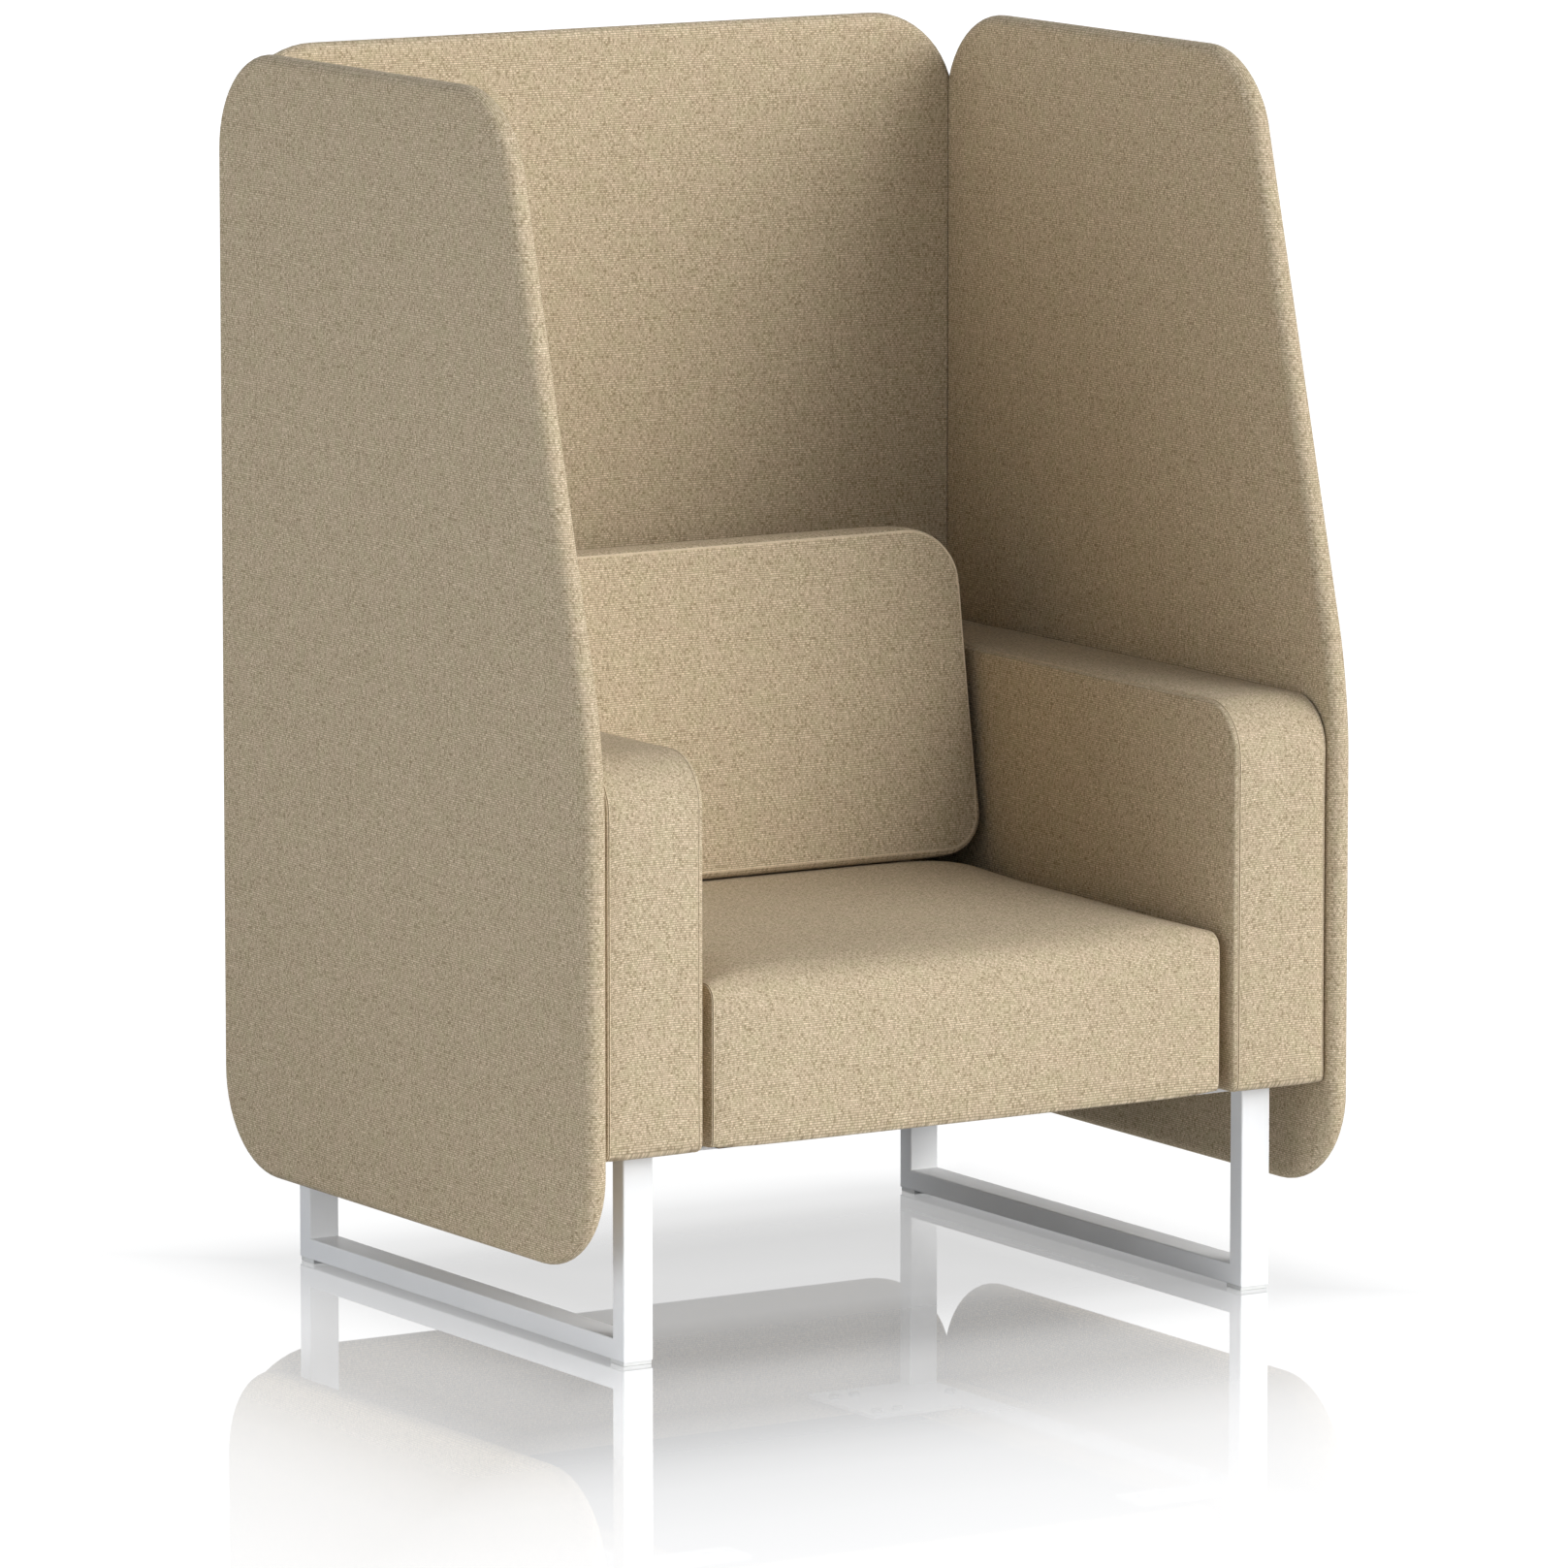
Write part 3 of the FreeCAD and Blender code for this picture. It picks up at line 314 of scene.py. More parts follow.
FINISHES = {
    "upholstery": cloth,
    "white_steel": steel,
    "zinc_steel": zinc,
    "glide": glide_plastic,
    "dust_cloth": dust_cloth,
    "timber": wood("planed_softwood", (12, 110, 110), (222, 190, 142), (184, 142, 92), 0.55),
    "plywood": wood("sanded_plywood", (90, 90, 9), (224, 196, 154), (190, 154, 108), 0.50),
    "core_board": wood("raw_fibreboard", (320, 320, 320), (182, 152, 116), (144, 114, 82), 0.75),
}
for part in frame["record"]["subparts"]:
    node = frame["nodes"][part["node"]]
    for slot in node.material_slots:
        slot.material = FINISHES[part["material_slot"]]
print("finishes:", ", ".join(sorted(FINISHES)))


# %% [markdown]
# ## Tools for the upholstery
# Each cover starts as one block at its seam lines. Its corners are rounded with bevels, it is sliced into
# a grid of small faces, and then the foam pushes it out: a cloth simulation with pressure inside, held
# along the seams. How far a point may move is capped, because this upholstery is tight. Last the seams
# are cut as narrow grooves between two raised edges, where the cloth is folded in and stands up a little.

# %% Blocks and selections
AXES = {"X": Vector((1, 0, 0)), "Y": Vector((0, 1, 0)), "Z": Vector((0, 0, 1))}
NEAR = 0.0002


def block(name, low, high):
    """A cube at its size and place, with the place in its mesh, ready in edit mode."""
    low, high = Vector(low), Vector(high)
    bpy.ops.object.select_all(action="DESELECT")
    bpy.ops.mesh.primitive_cube_add(size=1, location=(low + high) / 2, scale=high - low)
    bpy.ops.object.transform_apply(location=True, rotation=True, scale=True)
    piece = bpy.context.object
    piece.name = piece.data.name = name
    bpy.ops.object.mode_set(mode="EDIT")
    return piece


def pick(kind, wanted):
    """Select the edges or faces for which wanted is true, in the mesh that is being edited."""
    bpy.ops.mesh.select_mode(type={"edges": "EDGE", "faces": "FACE"}[kind])
    bpy.ops.mesh.select_all(action="DESELECT")
    shape = bmesh.from_edit_mesh(bpy.context.object.data)
    count = 0
    for item in getattr(shape, kind):
        if wanted(item):
            item.select_set(True)
            count += 1
    bmesh.update_edit_mesh(bpy.context.object.data)
    return count


def on(item, **places):
    """True if every corner of the edge or face lies at these coordinates."""
    return all(abs(corner.co["xyz".index(axis)] - place) < NEAR
               for corner in item.verts for axis, place in places.items())


def runs(edge, axis):
    return abs((edge.verts[1].co - edge.verts[0].co).normalized().dot(AXES[axis])) > 0.999


def rounded(radius, segments, turn=90):
    """Bevel the picked edges to an arc; turn is the angle in degrees that the outline turns through there."""
    bpy.ops.mesh.bevel(offset=radius * math.tan(math.radians(turn / 2)), segments=segments, affect="EDGES")


def sliced(axis, places):
    """Cut right through the piece across the axis, to give the cloth a grid to bend on."""
    for place in places:
        bpy.ops.mesh.select_all(action="SELECT")
        bpy.ops.mesh.bisect(plane_co=AXES[axis] * place, plane_no=AXES[axis])


def steps(low, high, size):
    count = max(round((high - low) / size), 1)
    return [low + (high - low) * step / count for step in range(1, count)]


def beside(low, high, gaps):
    """Extra cuts close to the two seams."""
    return [low + gap for gap in gaps] + [high - gap for gap in gaps]


def ringed(wanted, widths):
    """Rows of narrow faces just inside the edge of a panel, so that it can roll over beside its seam."""
    pick("faces", wanted)
    for width in widths:
        bpy.ops.mesh.inset(thickness=width)


# %% Rolled edges
def rolled(piece, axis, reach, crown):
    """Roll the band of a cover out beside its seams; reach and crown depend on the way a point faces."""
    bpy.ops.object.mode_set(mode="OBJECT")
    index = "XYZ".index(axis)
    places = [corner.co[index] for corner in piece.data.vertices]
    first, last = min(places), max(places)
    facing = [corner.normal.copy() for corner in piece.data.vertices]
    for corner, normal in zip(piece.data.vertices, facing):
        depth = min(corner.co[index] - first, last - corner.co[index])
        if depth > NEAR:
            share = 1 - min(depth / reach(normal), 1)
            corner.co += normal * crown(normal) * math.sqrt(1 - share * share)


# %% Foam pressure
CLOTH_FRAMES = 20


def swell(piece, room, pressure=4):
    """Push the cover out by foam pressure; room says how far each point may move, and 0 holds it still."""
    bpy.ops.object.mode_set(mode="OBJECT")
    rest = [corner.co.copy() for corner in piece.data.vertices]
    limits = [room(corner.co, corner.normal) for corner in piece.data.vertices]
    held = piece.vertex_groups.new(name="held")
    held.add([index for index, limit in enumerate(limits) if limit == 0], 1, "REPLACE")
    bpy.ops.object.modifier_add(type="CLOTH")
    foam = piece.modifiers[-1]
    foam.settings.vertex_group_mass = "held"
    foam.settings.use_pressure = True
    foam.settings.uniform_pressure_force = pressure
    foam.settings.effector_weights.gravity = 0
    for step in range(1, CLOTH_FRAMES + 1):
        bpy.context.scene.frame_set(step)
    bpy.ops.object.modifier_apply(modifier=foam.name)
    bpy.context.scene.frame_set(1)
    furthest = 0
    for corner, before, limit in zip(piece.data.vertices, rest, limits):
        shift = corner.co - before
        reach = limit * math.tanh(shift.length / limit) if limit else 0
        corner.co = before + shift.normalized() * reach
        furthest = max(furthest, reach)
    piece.vertex_groups.clear()
    print(piece.name, "swells by up to", round(furthest * 1000, 1), "mm")


# %% Seams, weave and hand-over
WELT_WIDTH = 0.0020
WELT_RISE = 0.0006
GROOVE_DEPTH = 0.0005
SEAM_ANGLE = math.radians(38)
FACES_AXIS = 0.97


def panel_edge(edge, axis):
    """True where a flat panel that faces along the axis is sewn to the band round it."""
    faces = [abs(face.normal.dot(AXES[axis])) > FACES_AXIS for face in edge.link_faces]
    return len(faces) == 2 and faces[0] != faces[1]


def mark_seams(wanted):
    """Keep the seam edges sharp and creased, so that they can be found again after the cover is smoothed."""
    count = pick("edges", wanted)
    bpy.ops.mesh.mark_sharp()
    bpy.ops.transform.edge_crease(value=1)
    return count


def sewn(piece, dark=1):
    """One subdivision, then two raised edges and a groove along every seam.

    The cloth paints light from their marks: 1 on the raised edges, a painted highlight, and -dark in the groove,
    painted shade. A dark below 0 gives a pale seam, painted as a highlight.
    """
    bpy.ops.object.modifier_add(type="SUBSURF")
    smooth = piece.modifiers[-1]
    smooth.levels = smooth.render_levels = 1
    bpy.ops.object.modifier_apply(modifier=smooth.name)
    bpy.ops.object.mode_set(mode="EDIT")
    pick("edges", lambda edge: not edge.smooth)
    bpy.ops.mesh.bevel(offset=WELT_WIDTH, segments=4, affect="EDGES")
    bpy.ops.mesh.select_mode(type="VERT")
    # Per-vertex marks for the painted seam highlight and the painted shade in the groove.
    bmesh.from_edit_mesh(piece.data).verts.layers.float.new("welt")
    for mark, rise in ((1, WELT_RISE), (-dark, -WELT_RISE - dark * GROOVE_DEPTH)):
        bpy.ops.mesh.select_less()
        bpy.ops.transform.shrink_fatten(value=rise)
        shape = bmesh.from_edit_mesh(piece.data)
        welt = shape.verts.layers.float["welt"]
        for corner in shape.verts:
            if corner.select:
                corner[welt] = mark
        bmesh.update_edit_mesh(piece.data)
    bpy.ops.object.mode_set(mode="OBJECT")
    bpy.ops.object.select_all(action="DESELECT")


def lay_cloth(piece, wraps=False, rows="X"):
    """Lay the weave: u along the thread rows and v across them, in metres.

    A cover that wraps runs on over its rounded nose; rows names the way they run on top of a piece.
    """
    layer = piece.data.uv_layers.new(name="weave")
    for face in piece.data.polygons:
        side, depth, rise = (abs(part) for part in face.normal)
        for corner in face.loop_indices:
            x, y, z = piece.data.vertices[piece.data.loops[corner].vertex_index].co
            if wraps and side < 0.75:
                lie_at = (x, y + z)
            elif side >= max(depth, rise):
                lie_at = (y, z)
            elif depth >= rise:
                lie_at = (x, z)
            else:
                lie_at = (x, y) if rows == "X" else (y, x)
            layer.data[corner].uv = lie_at


def dressed(piece, node, fill, **weave):
    """Give a finished cover its cloth and hand it to the frame in place of its CAD node."""
    lay_cloth(piece, **weave)
    piece.data.materials.clear()
    piece.data.materials.append(cloth)
    bpy.ops.object.select_all(action="DESELECT")
    piece.select_set(True)
    bpy.context.view_layer.objects.active = piece
    bpy.ops.object.shade_smooth_by_angle(angle=SEAM_ANGLE)
    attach(piece, "root")
    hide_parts(node)
    print(piece.name, "has", len(piece.data.polygons), "faces")


def mirrored(piece, name):
    """A left-hand copy with its own mesh, turned right side out again."""
    bpy.ops.object.select_all(action="DESELECT")
    piece.select_set(True)
    bpy.context.view_layer.objects.active = piece
    bpy.ops.object.duplicate()
    twin = bpy.context.object
    twin.name = twin.data.name = name
    twin.scale.x = -1
    bpy.ops.object.transform_apply(location=True, rotation=True, scale=True)
    bpy.ops.object.mode_set(mode="EDIT")
    bpy.ops.mesh.select_all(action="SELECT")
    bpy.ops.mesh.normals_make_consistent(inside=False)
    bpy.ops.object.mode_set(mode="OBJECT")
    return twin


# %% [markdown]
# ## Arms
# An arm is a padded box: two flat side panels sewn to one band that runs up the front, over a rounded
# nose and back along the top. The panels are folded a few millimetres round the edge, so the seams lie on
# the band. The nose is a wide bevel and the other corners are tight ones. The band rolls over at its
# edges and swells between them; the outer panel is pressed flat against the screen, so it is held.

# %% Right arm, then its mirrored twin
ARM_CROWN = 0.005
ARM_ROLL = 0.012
ARM_PANEL_CROWN = 0.003
SWELL_SHARE = 0.002
ARM_NOSE = 0.060
ARM_CORNER = 0.009
ARM_SEAM = 0.006
ARM_OUTER_SEAM = 0.0035
GRID = 0.026

pad_low, pad_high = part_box("right_arm_pad")
inset = Vector((0, ARM_CROWN, ARM_CROWN))
low, high = pad_low + inset, pad_high - inset
right_arm = block("right_arm_cover", low, high)
pick("edges", lambda edge: on(edge, y=low.y, z=high.z))
rounded(ARM_NOSE, 10)
pick("edges", lambda edge: any(on(edge, y=y, z=z) for y, z in
                               ((low.y, low.z), (high.y, low.z), (high.y, high.z))))
rounded(ARM_CORNER, 3)
ARM_CUTS = (0.0015, ARM_OUTER_SEAM, ARM_SEAM, 0.012, 0.032)
sliced("X", beside(low.x, high.x, ARM_CUTS) + [(low.x + high.x) / 2])
sliced("Y", steps(low.y + ARM_NOSE, high.y - ARM_CORNER, GRID))
sliced("Z", steps(low.z + ARM_CORNER, high.z - ARM_NOSE, GRID))
ringed(lambda face: on(face, x=low.x), (0.003, 0.005, 0.008))
seams = mark_seams(lambda edge: on(edge, x=low.x + ARM_SEAM) or on(edge, x=high.x - ARM_OUTER_SEAM))
box_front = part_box("back_pad")[0].y
rolled(right_arm, "X", lambda normal: ARM_ROLL, lambda normal: ARM_CROWN - SWELL_SHARE)


def arm_room(place, normal):
    on_edge = min(abs(place.x - low.x), abs(place.x - high.x)) < NEAR and abs(normal.x) < 0.95
    outside = abs(place.x - high.x) < NEAR
    beside_box = abs(place.x - low.x) < NEAR and place.y > box_front - 0.03
    if on_edge or outside or beside_box:
        return 0
    return ARM_PANEL_CROWN if abs(place.x - low.x) < NEAR else SWELL_SHARE


swell(right_arm, arm_room)
sewn(right_arm)
left_arm = mirrored(right_arm, "left_arm_cover")
dressed(right_arm, "right_arm_pad", 0.9, wraps=True)
dressed(left_arm, "left_arm_pad", 0.9, wraps=True)
print("arm seams:", seams, "edges")

# %% [markdown]
# ## Back box
# Behind the cushion a padded box ties the two arms together. Only its top shows, so it gets the same band
# and seams as the arms, with its panels facing forwards and backwards.

# %% Back box
BOX_CORNER = 0.014
BOX_GRID = 0.035

pad_low, pad_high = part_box("back_pad")
inset = Vector((ARM_CROWN, 0, ARM_CROWN))
low, high = pad_low + inset, pad_high - inset
back_box = block("back_box_cover", low, high)
pick("edges", lambda edge: runs(edge, "Y"))
rounded(BOX_CORNER, 4)
sliced("Y", beside(low.y, high.y, (0.006, 0.016, 0.032)) + [(low.y + high.y) / 2])
sliced("X", steps(low.x + BOX_CORNER, high.x - BOX_CORNER, BOX_GRID))
sliced("Z", steps(low.z + BOX_CORNER, high.z - BOX_CORNER, BOX_GRID))
seams = mark_seams(lambda edge: panel_edge(edge, "Y"))


def box_room(place, normal):
    on_panel = min(abs(place.y - low.y), abs(place.y - high.y)) < NEAR
    return 0 if on_panel or normal.z < -0.9 else ARM_CROWN


swell(back_box, box_room)
sewn(back_box)
dressed(back_box, "back_pad", 0.9)
print("back box seams:", seams, "edges")

# %% [markdown]
# ## Seat cushion
# The seat is one deep cushion with flat side panels. Its cover rises steeply beside the side seams and
# flattens towards the middle, the crown has settled a little behind the soft front nose, and the rear
# third slopes down under the back cushion that sits on it. A block with that fold is raised to its crown
# first, a little smaller than the finished seat, and the cloth simulation then tightens the cover over
# the foam.

# %% Seat
SEAT_CROWN = 0.025
SEAT_FRONT_CROWN = 0.005
SEAT_BASE_CROWN = 0.0045
SEAT_NOSE = 0.019
SEAT_CREST_NOSE = 0.037
SEAT_DROOP = 0.0135
SEAT_DROOP_REACH = 0.300
SEAT_DROOP_POWER = 1.6
SEAT_CORNER = 0.007
SEAT_GRID = 0.022
SEAT_FOLD_RADIUS = 0.300
CROWN_FLATNESS = 12
SEAT_SWELL = 0.003
SEAT_SIDE_SWELL = 0.005
SWELL_FADE = 0.100
CUSHION_RECLINE = 8.5
CUSHION_FOOT = Vector((0, 0.0949, 0.4716))

pad_low, pad_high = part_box("seat_cushion")
low = pad_low + Vector((0, SEAT_FRONT_CROWN, SEAT_BASE_CROWN))
high = pad_high - Vector((0, 0, SEAT_CROWN))
seat = block("seat_cover", low, high)
pick("edges", lambda edge: on(edge, y=low.y, z=high.z))
rounded(SEAT_NOSE, 9)
pick("edges", lambda edge: any(on(edge, y=y, z=z) for y, z in
                               ((low.y, low.z), (high.y, low.z), (high.y, high.z))))
rounded(SEAT_CORNER, 2)
SIDE_CUTS = (0.003, 0.008, 0.015, 0.024, 0.036, 0.052, 0.072)
sliced("X", beside(low.x, high.x, SIDE_CUTS))
sliced("X", steps(low.x + SIDE_CUTS[-1], high.x - SIDE_CUTS[-1], GRID))
sliced("Y", steps(low.y + SEAT_NOSE, high.y - SEAT_CORNER, SEAT_GRID))
sliced("Z", steps(low.z + SEAT_CORNER, high.z - SEAT_NOSE, GRID))
for panel_x in (low.x, high.x):
    ringed(lambda face: on(face, x=panel_x), (0.003, 0.004, 0.006))
seams = mark_seams(lambda edge: panel_edge(edge, "X"))
bpy.ops.object.mode_set(mode="OBJECT")

# %% Crown, nose and fold of the seat
fold_place = CUSHION_FOOT.y
fold_slope = math.tan(math.radians(CUSHION_RECLINE))
fold_reach = SEAT_FOLD_RADIUS * math.tan(math.radians(CUSHION_RECLINE / 2))
seam_hub = (low.y + SEAT_NOSE, high.z - SEAT_NOSE)
crest_front = low.y - SEAT_FRONT_CROWN + SEAT_SWELL


def give(y):
    """What is left to the cloth simulation: nothing where the back cushion rests on the seat."""
    return SEAT_SWELL * min(max((fold_place - fold_reach - y) / SWELL_FADE, 0), 1)


def droop(y):
    """How far the crown has settled near the front edge, where a sitter's legs press it down."""
    share = min(max(1 - (y - low.y) / SEAT_DROOP_REACH, 0), 1)
    return SEAT_DROOP * share ** SEAT_DROOP_POWER


def fold_dip(y):
    """How far the top drops behind the fold, which is rounded."""
    past = y - fold_place
    if abs(past) < fold_reach:
        return fold_slope * (past + fold_reach) ** 2 / (4 * fold_reach)
    return fold_slope * max(past, 0)


for corner in seat.data.vertices:
    x, y, z = corner.co
    fullness = 1 - min(abs(x / high.x), 1) ** CROWN_FLATNESS
    crest_top = high.z + SEAT_CROWN - give(y) - droop(y)
    crest_y = numpy.interp(y, (low.y, seam_hub[0], fold_place, high.y),
                           (crest_front, crest_front + SEAT_CREST_NOSE, fold_place, high.y))
    crest_z = numpy.interp(z, (low.z, seam_hub[1], high.z),
                           (low.z - SEAT_BASE_CROWN, crest_top - SEAT_CREST_NOSE, crest_top))
    up = (z - low.z) / (high.z - low.z)
    corner.co.y += fullness * (crest_y - y)
    corner.co.z += fullness * (crest_z - z) - up * fold_dip(y)


def seat_room(place, normal):
    hidden = normal.z < -0.5 or normal.y > 0.9
    if abs(abs(place.x) - high.x) < NEAR:
        return SEAT_SIDE_SWELL if abs(normal.x) > FACES_AXIS else 0
    return 0 if hidden else give(place.y)


swell(seat, seat_room)
sewn(seat)
dressed(seat, "seat_cushion", 0.8, wraps=True)
print("seat seams:", seams, "edges")

# %% [markdown]
# ## Back cushion
# The loose back cushion is a boxed cushion: a front and a rear panel with rounded corners, joined by a
# band that is pulled round the edge at the foot and the sides, so the seams lie a few millimetres inside
# the outline there, and close to the corner along the top. It is made upright at the origin, where its
# panels face straight along Y, blown up between its seams, and only then leaned back to stand on the
# seat.

# %% Back cushion
CUSHION_HALF = 0.3505
CUSHION_TAPER = 0.006
CUSHION_HEIGHT = 0.395
CUSHION_THICKNESS = 0.140
CUSHION_TOP_RADIUS = 0.070
CUSHION_FOOT_RADIUS = 0.049
SIDE_CROWN = 0.005
TOP_CROWN = 0.008
FOOT_CROWN = 0.004
BAND_ROLL = 0.012
TOP_ROLL = 0.050
CUSHION_SEAM = 0.0055
TOP_SEAM_SHARE = 0.2
PANEL_CROWN = 0.006
PANEL_FLAT = 0.997
# Below 0: the cushion's seam grooves are painted pale, a painted highlight along the seam.
LIGHT_SEAM = -0.5

cushion = block("back_cushion_cover", (-CUSHION_HALF, 0, 0),
                (CUSHION_HALF, CUSHION_THICKNESS, CUSHION_HEIGHT))
for side in (1, -1):
    pick("edges", lambda edge: on(edge, x=side * CUSHION_HALF, z=CUSHION_HEIGHT))
    bpy.ops.transform.translate(value=(-side * CUSHION_TAPER, 0, 0))
pick("edges", lambda edge: runs(edge, "Y") and on(edge, z=CUSHION_HEIGHT))
rounded(CUSHION_TOP_RADIUS, 10)
pick("edges", lambda edge: any(on(edge, x=side * CUSHION_HALF, z=0) for side in (1, -1)))
rounded(CUSHION_FOOT_RADIUS, 8)
pick("edges", lambda edge: panel_edge(edge, "Y"))
rounded(CUSHION_SEAM, 3)

# %% Tighter edge along the cushion's top
flat_half = CUSHION_HALF - CUSHION_TAPER - CUSHION_TOP_RADIUS
flat_top = CUSHION_HEIGHT - CUSHION_TOP_RADIUS
bpy.ops.object.mode_set(mode="OBJECT")
for corner in cushion.data.vertices:
    past = Vector((max(abs(corner.co.x) - flat_half, 0), 0, max(corner.co.z - flat_top, 0)))
    if corner.co.z > flat_top - NEAR:
        past.x = math.copysign(past.x, corner.co.x)
        depth = min(corner.co.y, CUSHION_THICKNESS - corner.co.y)
        tucked = CUSHION_SEAM - math.sqrt(max(CUSHION_SEAM ** 2 - (CUSHION_SEAM - depth) ** 2, 0))
        corner.co += past.normalized() * tucked * (1 - TOP_SEAM_SHARE)
bpy.ops.object.mode_set(mode="EDIT")

# %% Grid, seams and foam of the cushion
sliced("Y", beside(0, CUSHION_THICKNESS, (0.009, 0.014, 0.034)) + [CUSHION_THICKNESS / 2])
sliced("X", steps(-flat_half, flat_half, GRID))
sliced("Z", steps(CUSHION_FOOT_RADIUS, flat_top, GRID))
for panel_y in (0, CUSHION_THICKNESS):
    ringed(lambda face: on(face, y=panel_y), (0.006, 0.010))
seams = mark_seams(lambda edge: panel_edge(edge, "Y"))


def band_roll(normal):
    return BAND_ROLL + (TOP_ROLL - BAND_ROLL) * max(normal.z, 0) ** 2


def band_crown(normal):
    return SIDE_CROWN * normal.x ** 2 + (TOP_CROWN if normal.z > 0 else FOOT_CROWN) * normal.z ** 2


rolled(cushion, "Y", band_roll, lambda normal: band_crown(normal) - SWELL_SHARE)


def cushion_room(place, normal):
    on_panel = min(abs(place.y), abs(place.y - CUSHION_THICKNESS)) < NEAR
    if on_panel:
        return PANEL_CROWN if abs(normal.y) > PANEL_FLAT else 0
    return SWELL_SHARE


swell(cushion, cushion_room)
sewn(cushion, dark=LIGHT_SEAM)
cushion.rotation_euler.x = math.radians(-CUSHION_RECLINE)
cushion.location = CUSHION_FOOT
bpy.ops.object.transform_apply(location=True, rotation=True, scale=True)
dressed(cushion, "back_cushion", 0.7)
print("cushion seams:", seams, "edges")

# %% [markdown]
# ## Screens
# The three screens are boards under thin foam, with the cloth pulled round a full round edge and no seam
# in sight. The side screens stand upright up to a knee and lean back above it. Each is one block: the top
# front edge is moved back for the lean, the corners are bevelled to wide arcs, the rim is bevelled to a
# full round, and the edge that meets the back screen is cut off on the diagonal, so that the two press
# together in one thin line.

# %% Side screens
SCREEN_CORNER = 0.120
SCREEN_KNEE = 0.719
SCREEN_LEAN = 15
SCREEN_KNEE_RADIUS = 0.600
SCREEN_RIM = 0.0138
MITRE_GAP = 0.0005
FACE_MARGIN = 0.004


def rim_rounded(axis):
    """Full round along the rim of a screen whose faces look along the axis."""
    pick("edges", lambda edge: panel_edge(edge, axis))
    bpy.ops.mesh.bevel(offset=SCREEN_RIM, segments=8, affect="EDGES")
    pick("faces", lambda face: abs(face.normal.dot(AXES[axis])) > 0.9999 and face.calc_area() > 0.1)
    bpy.ops.mesh.inset(thickness=FACE_MARGIN, use_individual=True)


low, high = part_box("right_screen_pad")
back_low, back_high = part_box("back_screen_pad")
middle = (low.x + high.x) / 2
back_middle = (back_low.y + back_high.y) / 2
right_screen = block("right_screen_cover", low, Vector((high.x, back_middle, high.z)))
sliced("Z", [SCREEN_KNEE])
pick("edges", lambda edge: on(edge, y=low.y, z=high.z))
lean = math.tan(math.radians(SCREEN_LEAN)) * (high.z - SCREEN_KNEE)
bpy.ops.transform.translate(value=(0, lean, 0))
pick("edges", lambda edge: on(edge, y=low.y + lean, z=high.z))
rounded(SCREEN_CORNER, 14, 90 - SCREEN_LEAN)
pick("edges", lambda edge: any(on(edge, y=y, z=z) for y, z in
                               ((low.y, low.z), (back_middle, low.z), (back_middle, high.z))))
rounded(SCREEN_CORNER, 14)
pick("edges", lambda edge: on(edge, y=low.y, z=SCREEN_KNEE))
rounded(SCREEN_KNEE_RADIUS, 10, SCREEN_LEAN)
pick("edges", lambda edge: on(edge, z=SCREEN_KNEE) and runs(edge, "Y"))
bpy.ops.mesh.dissolve_edges()
rim_rounded("X")
across_corner = Vector((1, -1, 0)).normalized()
bpy.ops.mesh.select_all(action="SELECT")
bpy.ops.mesh.bisect(plane_co=Vector((middle, back_middle, 0)) + across_corner * MITRE_GAP,
                    plane_no=across_corner, use_fill=True, clear_inner=True)
bpy.ops.object.mode_set(mode="OBJECT")
left_screen = mirrored(right_screen, "left_screen_cover")
dressed(right_screen, "right_screen_pad", 1, rows="Y")
dressed(left_screen, "left_screen_pad", 1, rows="Y")

# %% Back screen
back_screen = block("back_screen_cover", (-middle, back_low.y, back_low.z),
                    (middle, back_high.y, back_high.z))
pick("edges", lambda edge: runs(edge, "Y"))
rounded(SCREEN_CORNER, 14)
rim_rounded("Y")
for side in (1, -1):
    across_corner = Vector((side, -1, 0)).normalized()
    bpy.ops.mesh.select_all(action="SELECT")
    bpy.ops.mesh.bisect(plane_co=Vector((side * middle, back_middle, 0)) - across_corner * MITRE_GAP,
                        plane_no=across_corner, use_fill=True, clear_outer=True)
bpy.ops.object.mode_set(mode="OBJECT")
dressed(back_screen, "back_screen_pad", 1)

# %% [markdown]
# ## Floor and light
# A polished studio floor: white to the camera, with a mirror image of the legs that is clear beside the
# booth and fades out further away, and it keeps the booth's shadow. The white it gives off to the camera
# is turned down under and round the booth, a painted shadow on top of the real one. A big soft lamp
# stands in front, to the right and above, a wide one low on the left, weak ones in front, and the floor
# throws much of their light back up.

# %% Floor
FLOOR_SIZE = 90
NEAR_EDGE = -0.45
FAR_EDGE = 2.0
MIRROR_SHARE = [(-0.25, 0.28), (-0.08, 0.50), (0.20, 0.52), (0.33, 0.42), (0.45, 0.30), (0.55, 0.23),
                (0.75, 0.16), (0.95, 0.12), (1.25, 0.08), (1.80, 0.03)]
# Light the floor gives off to the camera, by distance from the booth's outline: below 1 near and under the
# booth, a painted shadow.
FLOOR_WHITE_WITH_PAINTED_SHADOW = [(-0.45, 0.58), (-0.15, 0.52), (-0.03, 0.66), (0.04, 0.84), (0.10, 0.95), (0.18, 1.00)]

bpy.ops.object.select_all(action="DESELECT")
bpy.ops.mesh.primitive_plane_add(size=FLOOR_SIZE, location=(0, 0, 0))
floor = bpy.context.object
floor.name = floor.data.name = "studio_floor"
floor_paint, floor_shader, start = finish("studio_floor_paint")
seen = start.node("ShaderNodeLightPath", output="Is Camera Ray")
place = start.node("ShaderNodeTexCoord", output="Object")
axes = start.node("ShaderNodeSeparateXYZ", {}, {"Vector": place})
beyond_x = axes.maths("ABSOLUTE", axes.output("X")) - cad_box[1].x
beyond_y = axes.maths("ABSOLUTE", axes.output("Y")) - cad_box[1].y
away = (axes.maths("MAXIMUM", beyond_x, beyond_y) - NEAR_EDGE) / (FAR_EDGE - NEAR_EDGE)


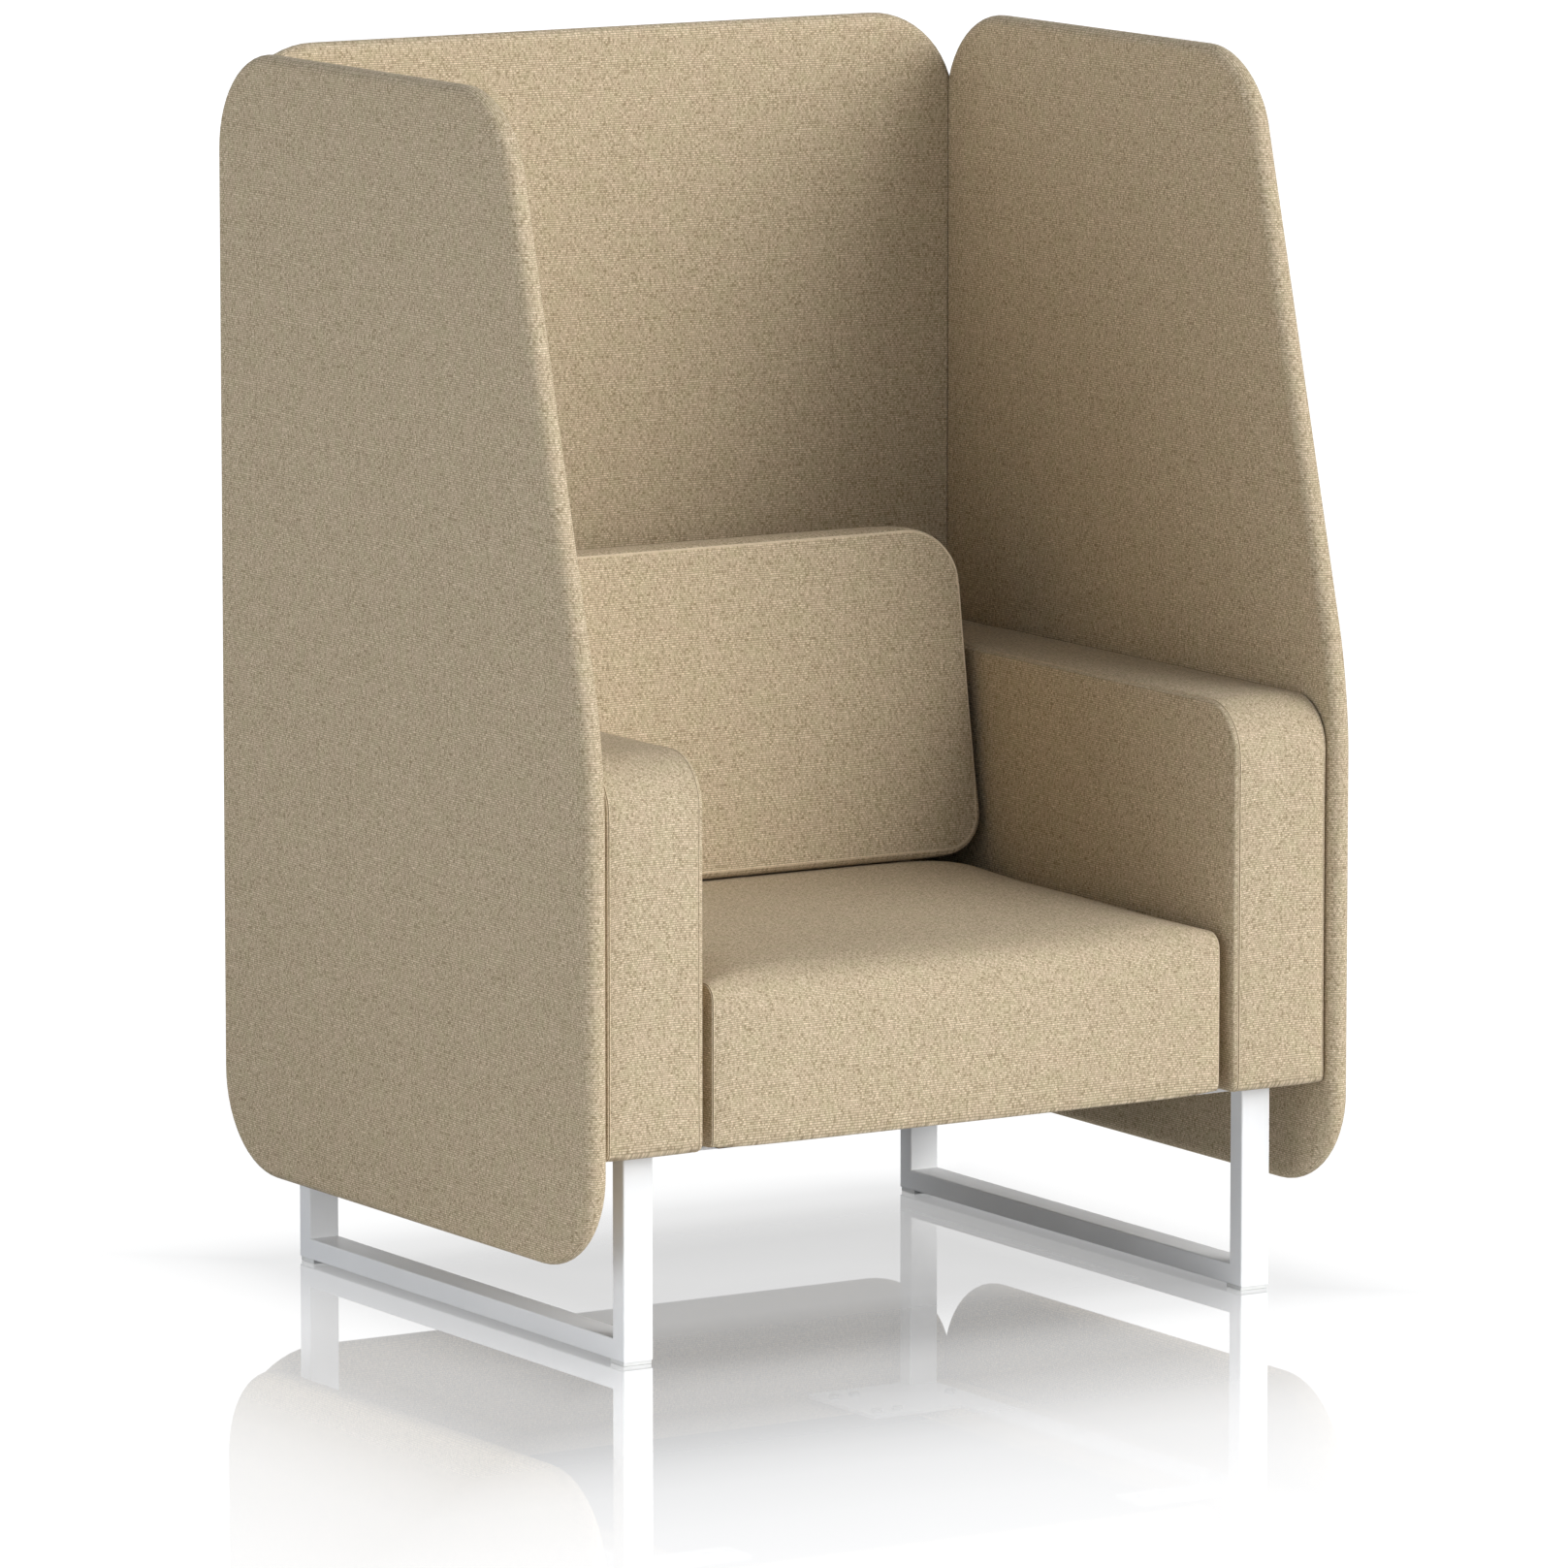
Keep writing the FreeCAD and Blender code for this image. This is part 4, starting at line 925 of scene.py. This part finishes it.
def falloff(shares):
    """Grey levels by the distance from the booth's outline on the floor."""
    span = FAR_EDGE - NEAR_EDGE
    stops = [((reach - NEAR_EDGE) / span, (share, share, share, 1)) for reach, share in shares]
    return start.node("ShaderNodeValToRGB", {"stops": stops}, {"Fac": away})


connect(blend(seen, (0.88, 0.88, 0.88, 1), (0.20, 0.20, 0.20, 1)), floor_shader, "Base Color")
floor_shader.inputs["Roughness"].default_value = 0.6
floor_shader.inputs["Specular IOR Level"].default_value = 0
shown = Signal(start.tree, floor_shader.outputs[0])
# Floor emission for camera rays, darkened under and round the booth as a painted shadow.
floor_emission_painted_shadow = start.node("ShaderNodeEmission", {}, {"Color": falloff(FLOOR_WHITE_WITH_PAINTED_SHADOW), "Strength": seen})
matte = start.node("ShaderNodeAddShader", {}, {0: shown, 1: floor_emission_painted_shadow})
mirror = start.node("ShaderNodeBsdfGlossy", {}, {"Color": (1, 1, 1, 1), "Roughness": 0.015})
both = start.node("ShaderNodeMixShader", {}, {0: falloff(MIRROR_SHARE) * seen, 1: matte, 2: mirror})
start.tree.links.new(both.socket, start.tree.nodes["Material Output"].inputs["Surface"])
floor.data.materials.append(floor_paint)

# %% Lamps and world
# name: (azimuth, height and spread in degrees, strength)
LAMPS = {
    "soft_key": (38, 28, 50, 2.27),
    "side_fill": (-100, 6, 60, 1.34),
    "left_fill": (-70, 8, 60, 0.66),
    "front_fill": (19, 4, 60, 1.68),
}
SKY = (0.02, 0.045, 0.085)


def towards(azimuth, height):
    """Direction of a lamp: azimuth in degrees from straight ahead towards +X, height above the floor."""
    turn, lift = math.radians(azimuth), math.radians(height)
    return Vector((math.sin(turn) * math.cos(lift), -math.cos(turn) * math.cos(lift), math.sin(lift)))


for name, (azimuth, height, spread, strength) in LAMPS.items():
    direction = towards(azimuth, height)
    bpy.ops.object.select_all(action="DESELECT")
    bpy.ops.object.light_add(type="SUN", location=direction * 4)
    lamp = bpy.context.object
    lamp.name = name
    lamp.rotation_euler = (-direction).to_track_quat("-Z", "Y").to_euler()
    lamp.data.energy = strength
    lamp.data.angle = math.radians(spread)
print("lamps:", ", ".join(LAMPS))

world = bpy.data.worlds.new("studio")
bpy.context.scene.world = world
world.use_nodes = True
start = Signal(world.node_tree)
path = start.node("ShaderNodeLightPath")
plain = path.maths("MAXIMUM", path, path.output("Is Glossy Ray"))
plain = path.maths("MAXIMUM", plain, path.output("Is Transmission Ray"))
backdrop = world.node_tree.nodes["Background"]
connect(blend(plain, (*SKY, 1), (1, 1, 1, 1)), backdrop, "Color")
bpy.context.scene.view_settings.view_transform = "Standard"

# %% [markdown]
# ## Last step
# The selection is cleared. The dressed model may stand only a little proud of its CAD box.

# %% Clear the selection
bpy.ops.object.select_all(action="DESELECT")
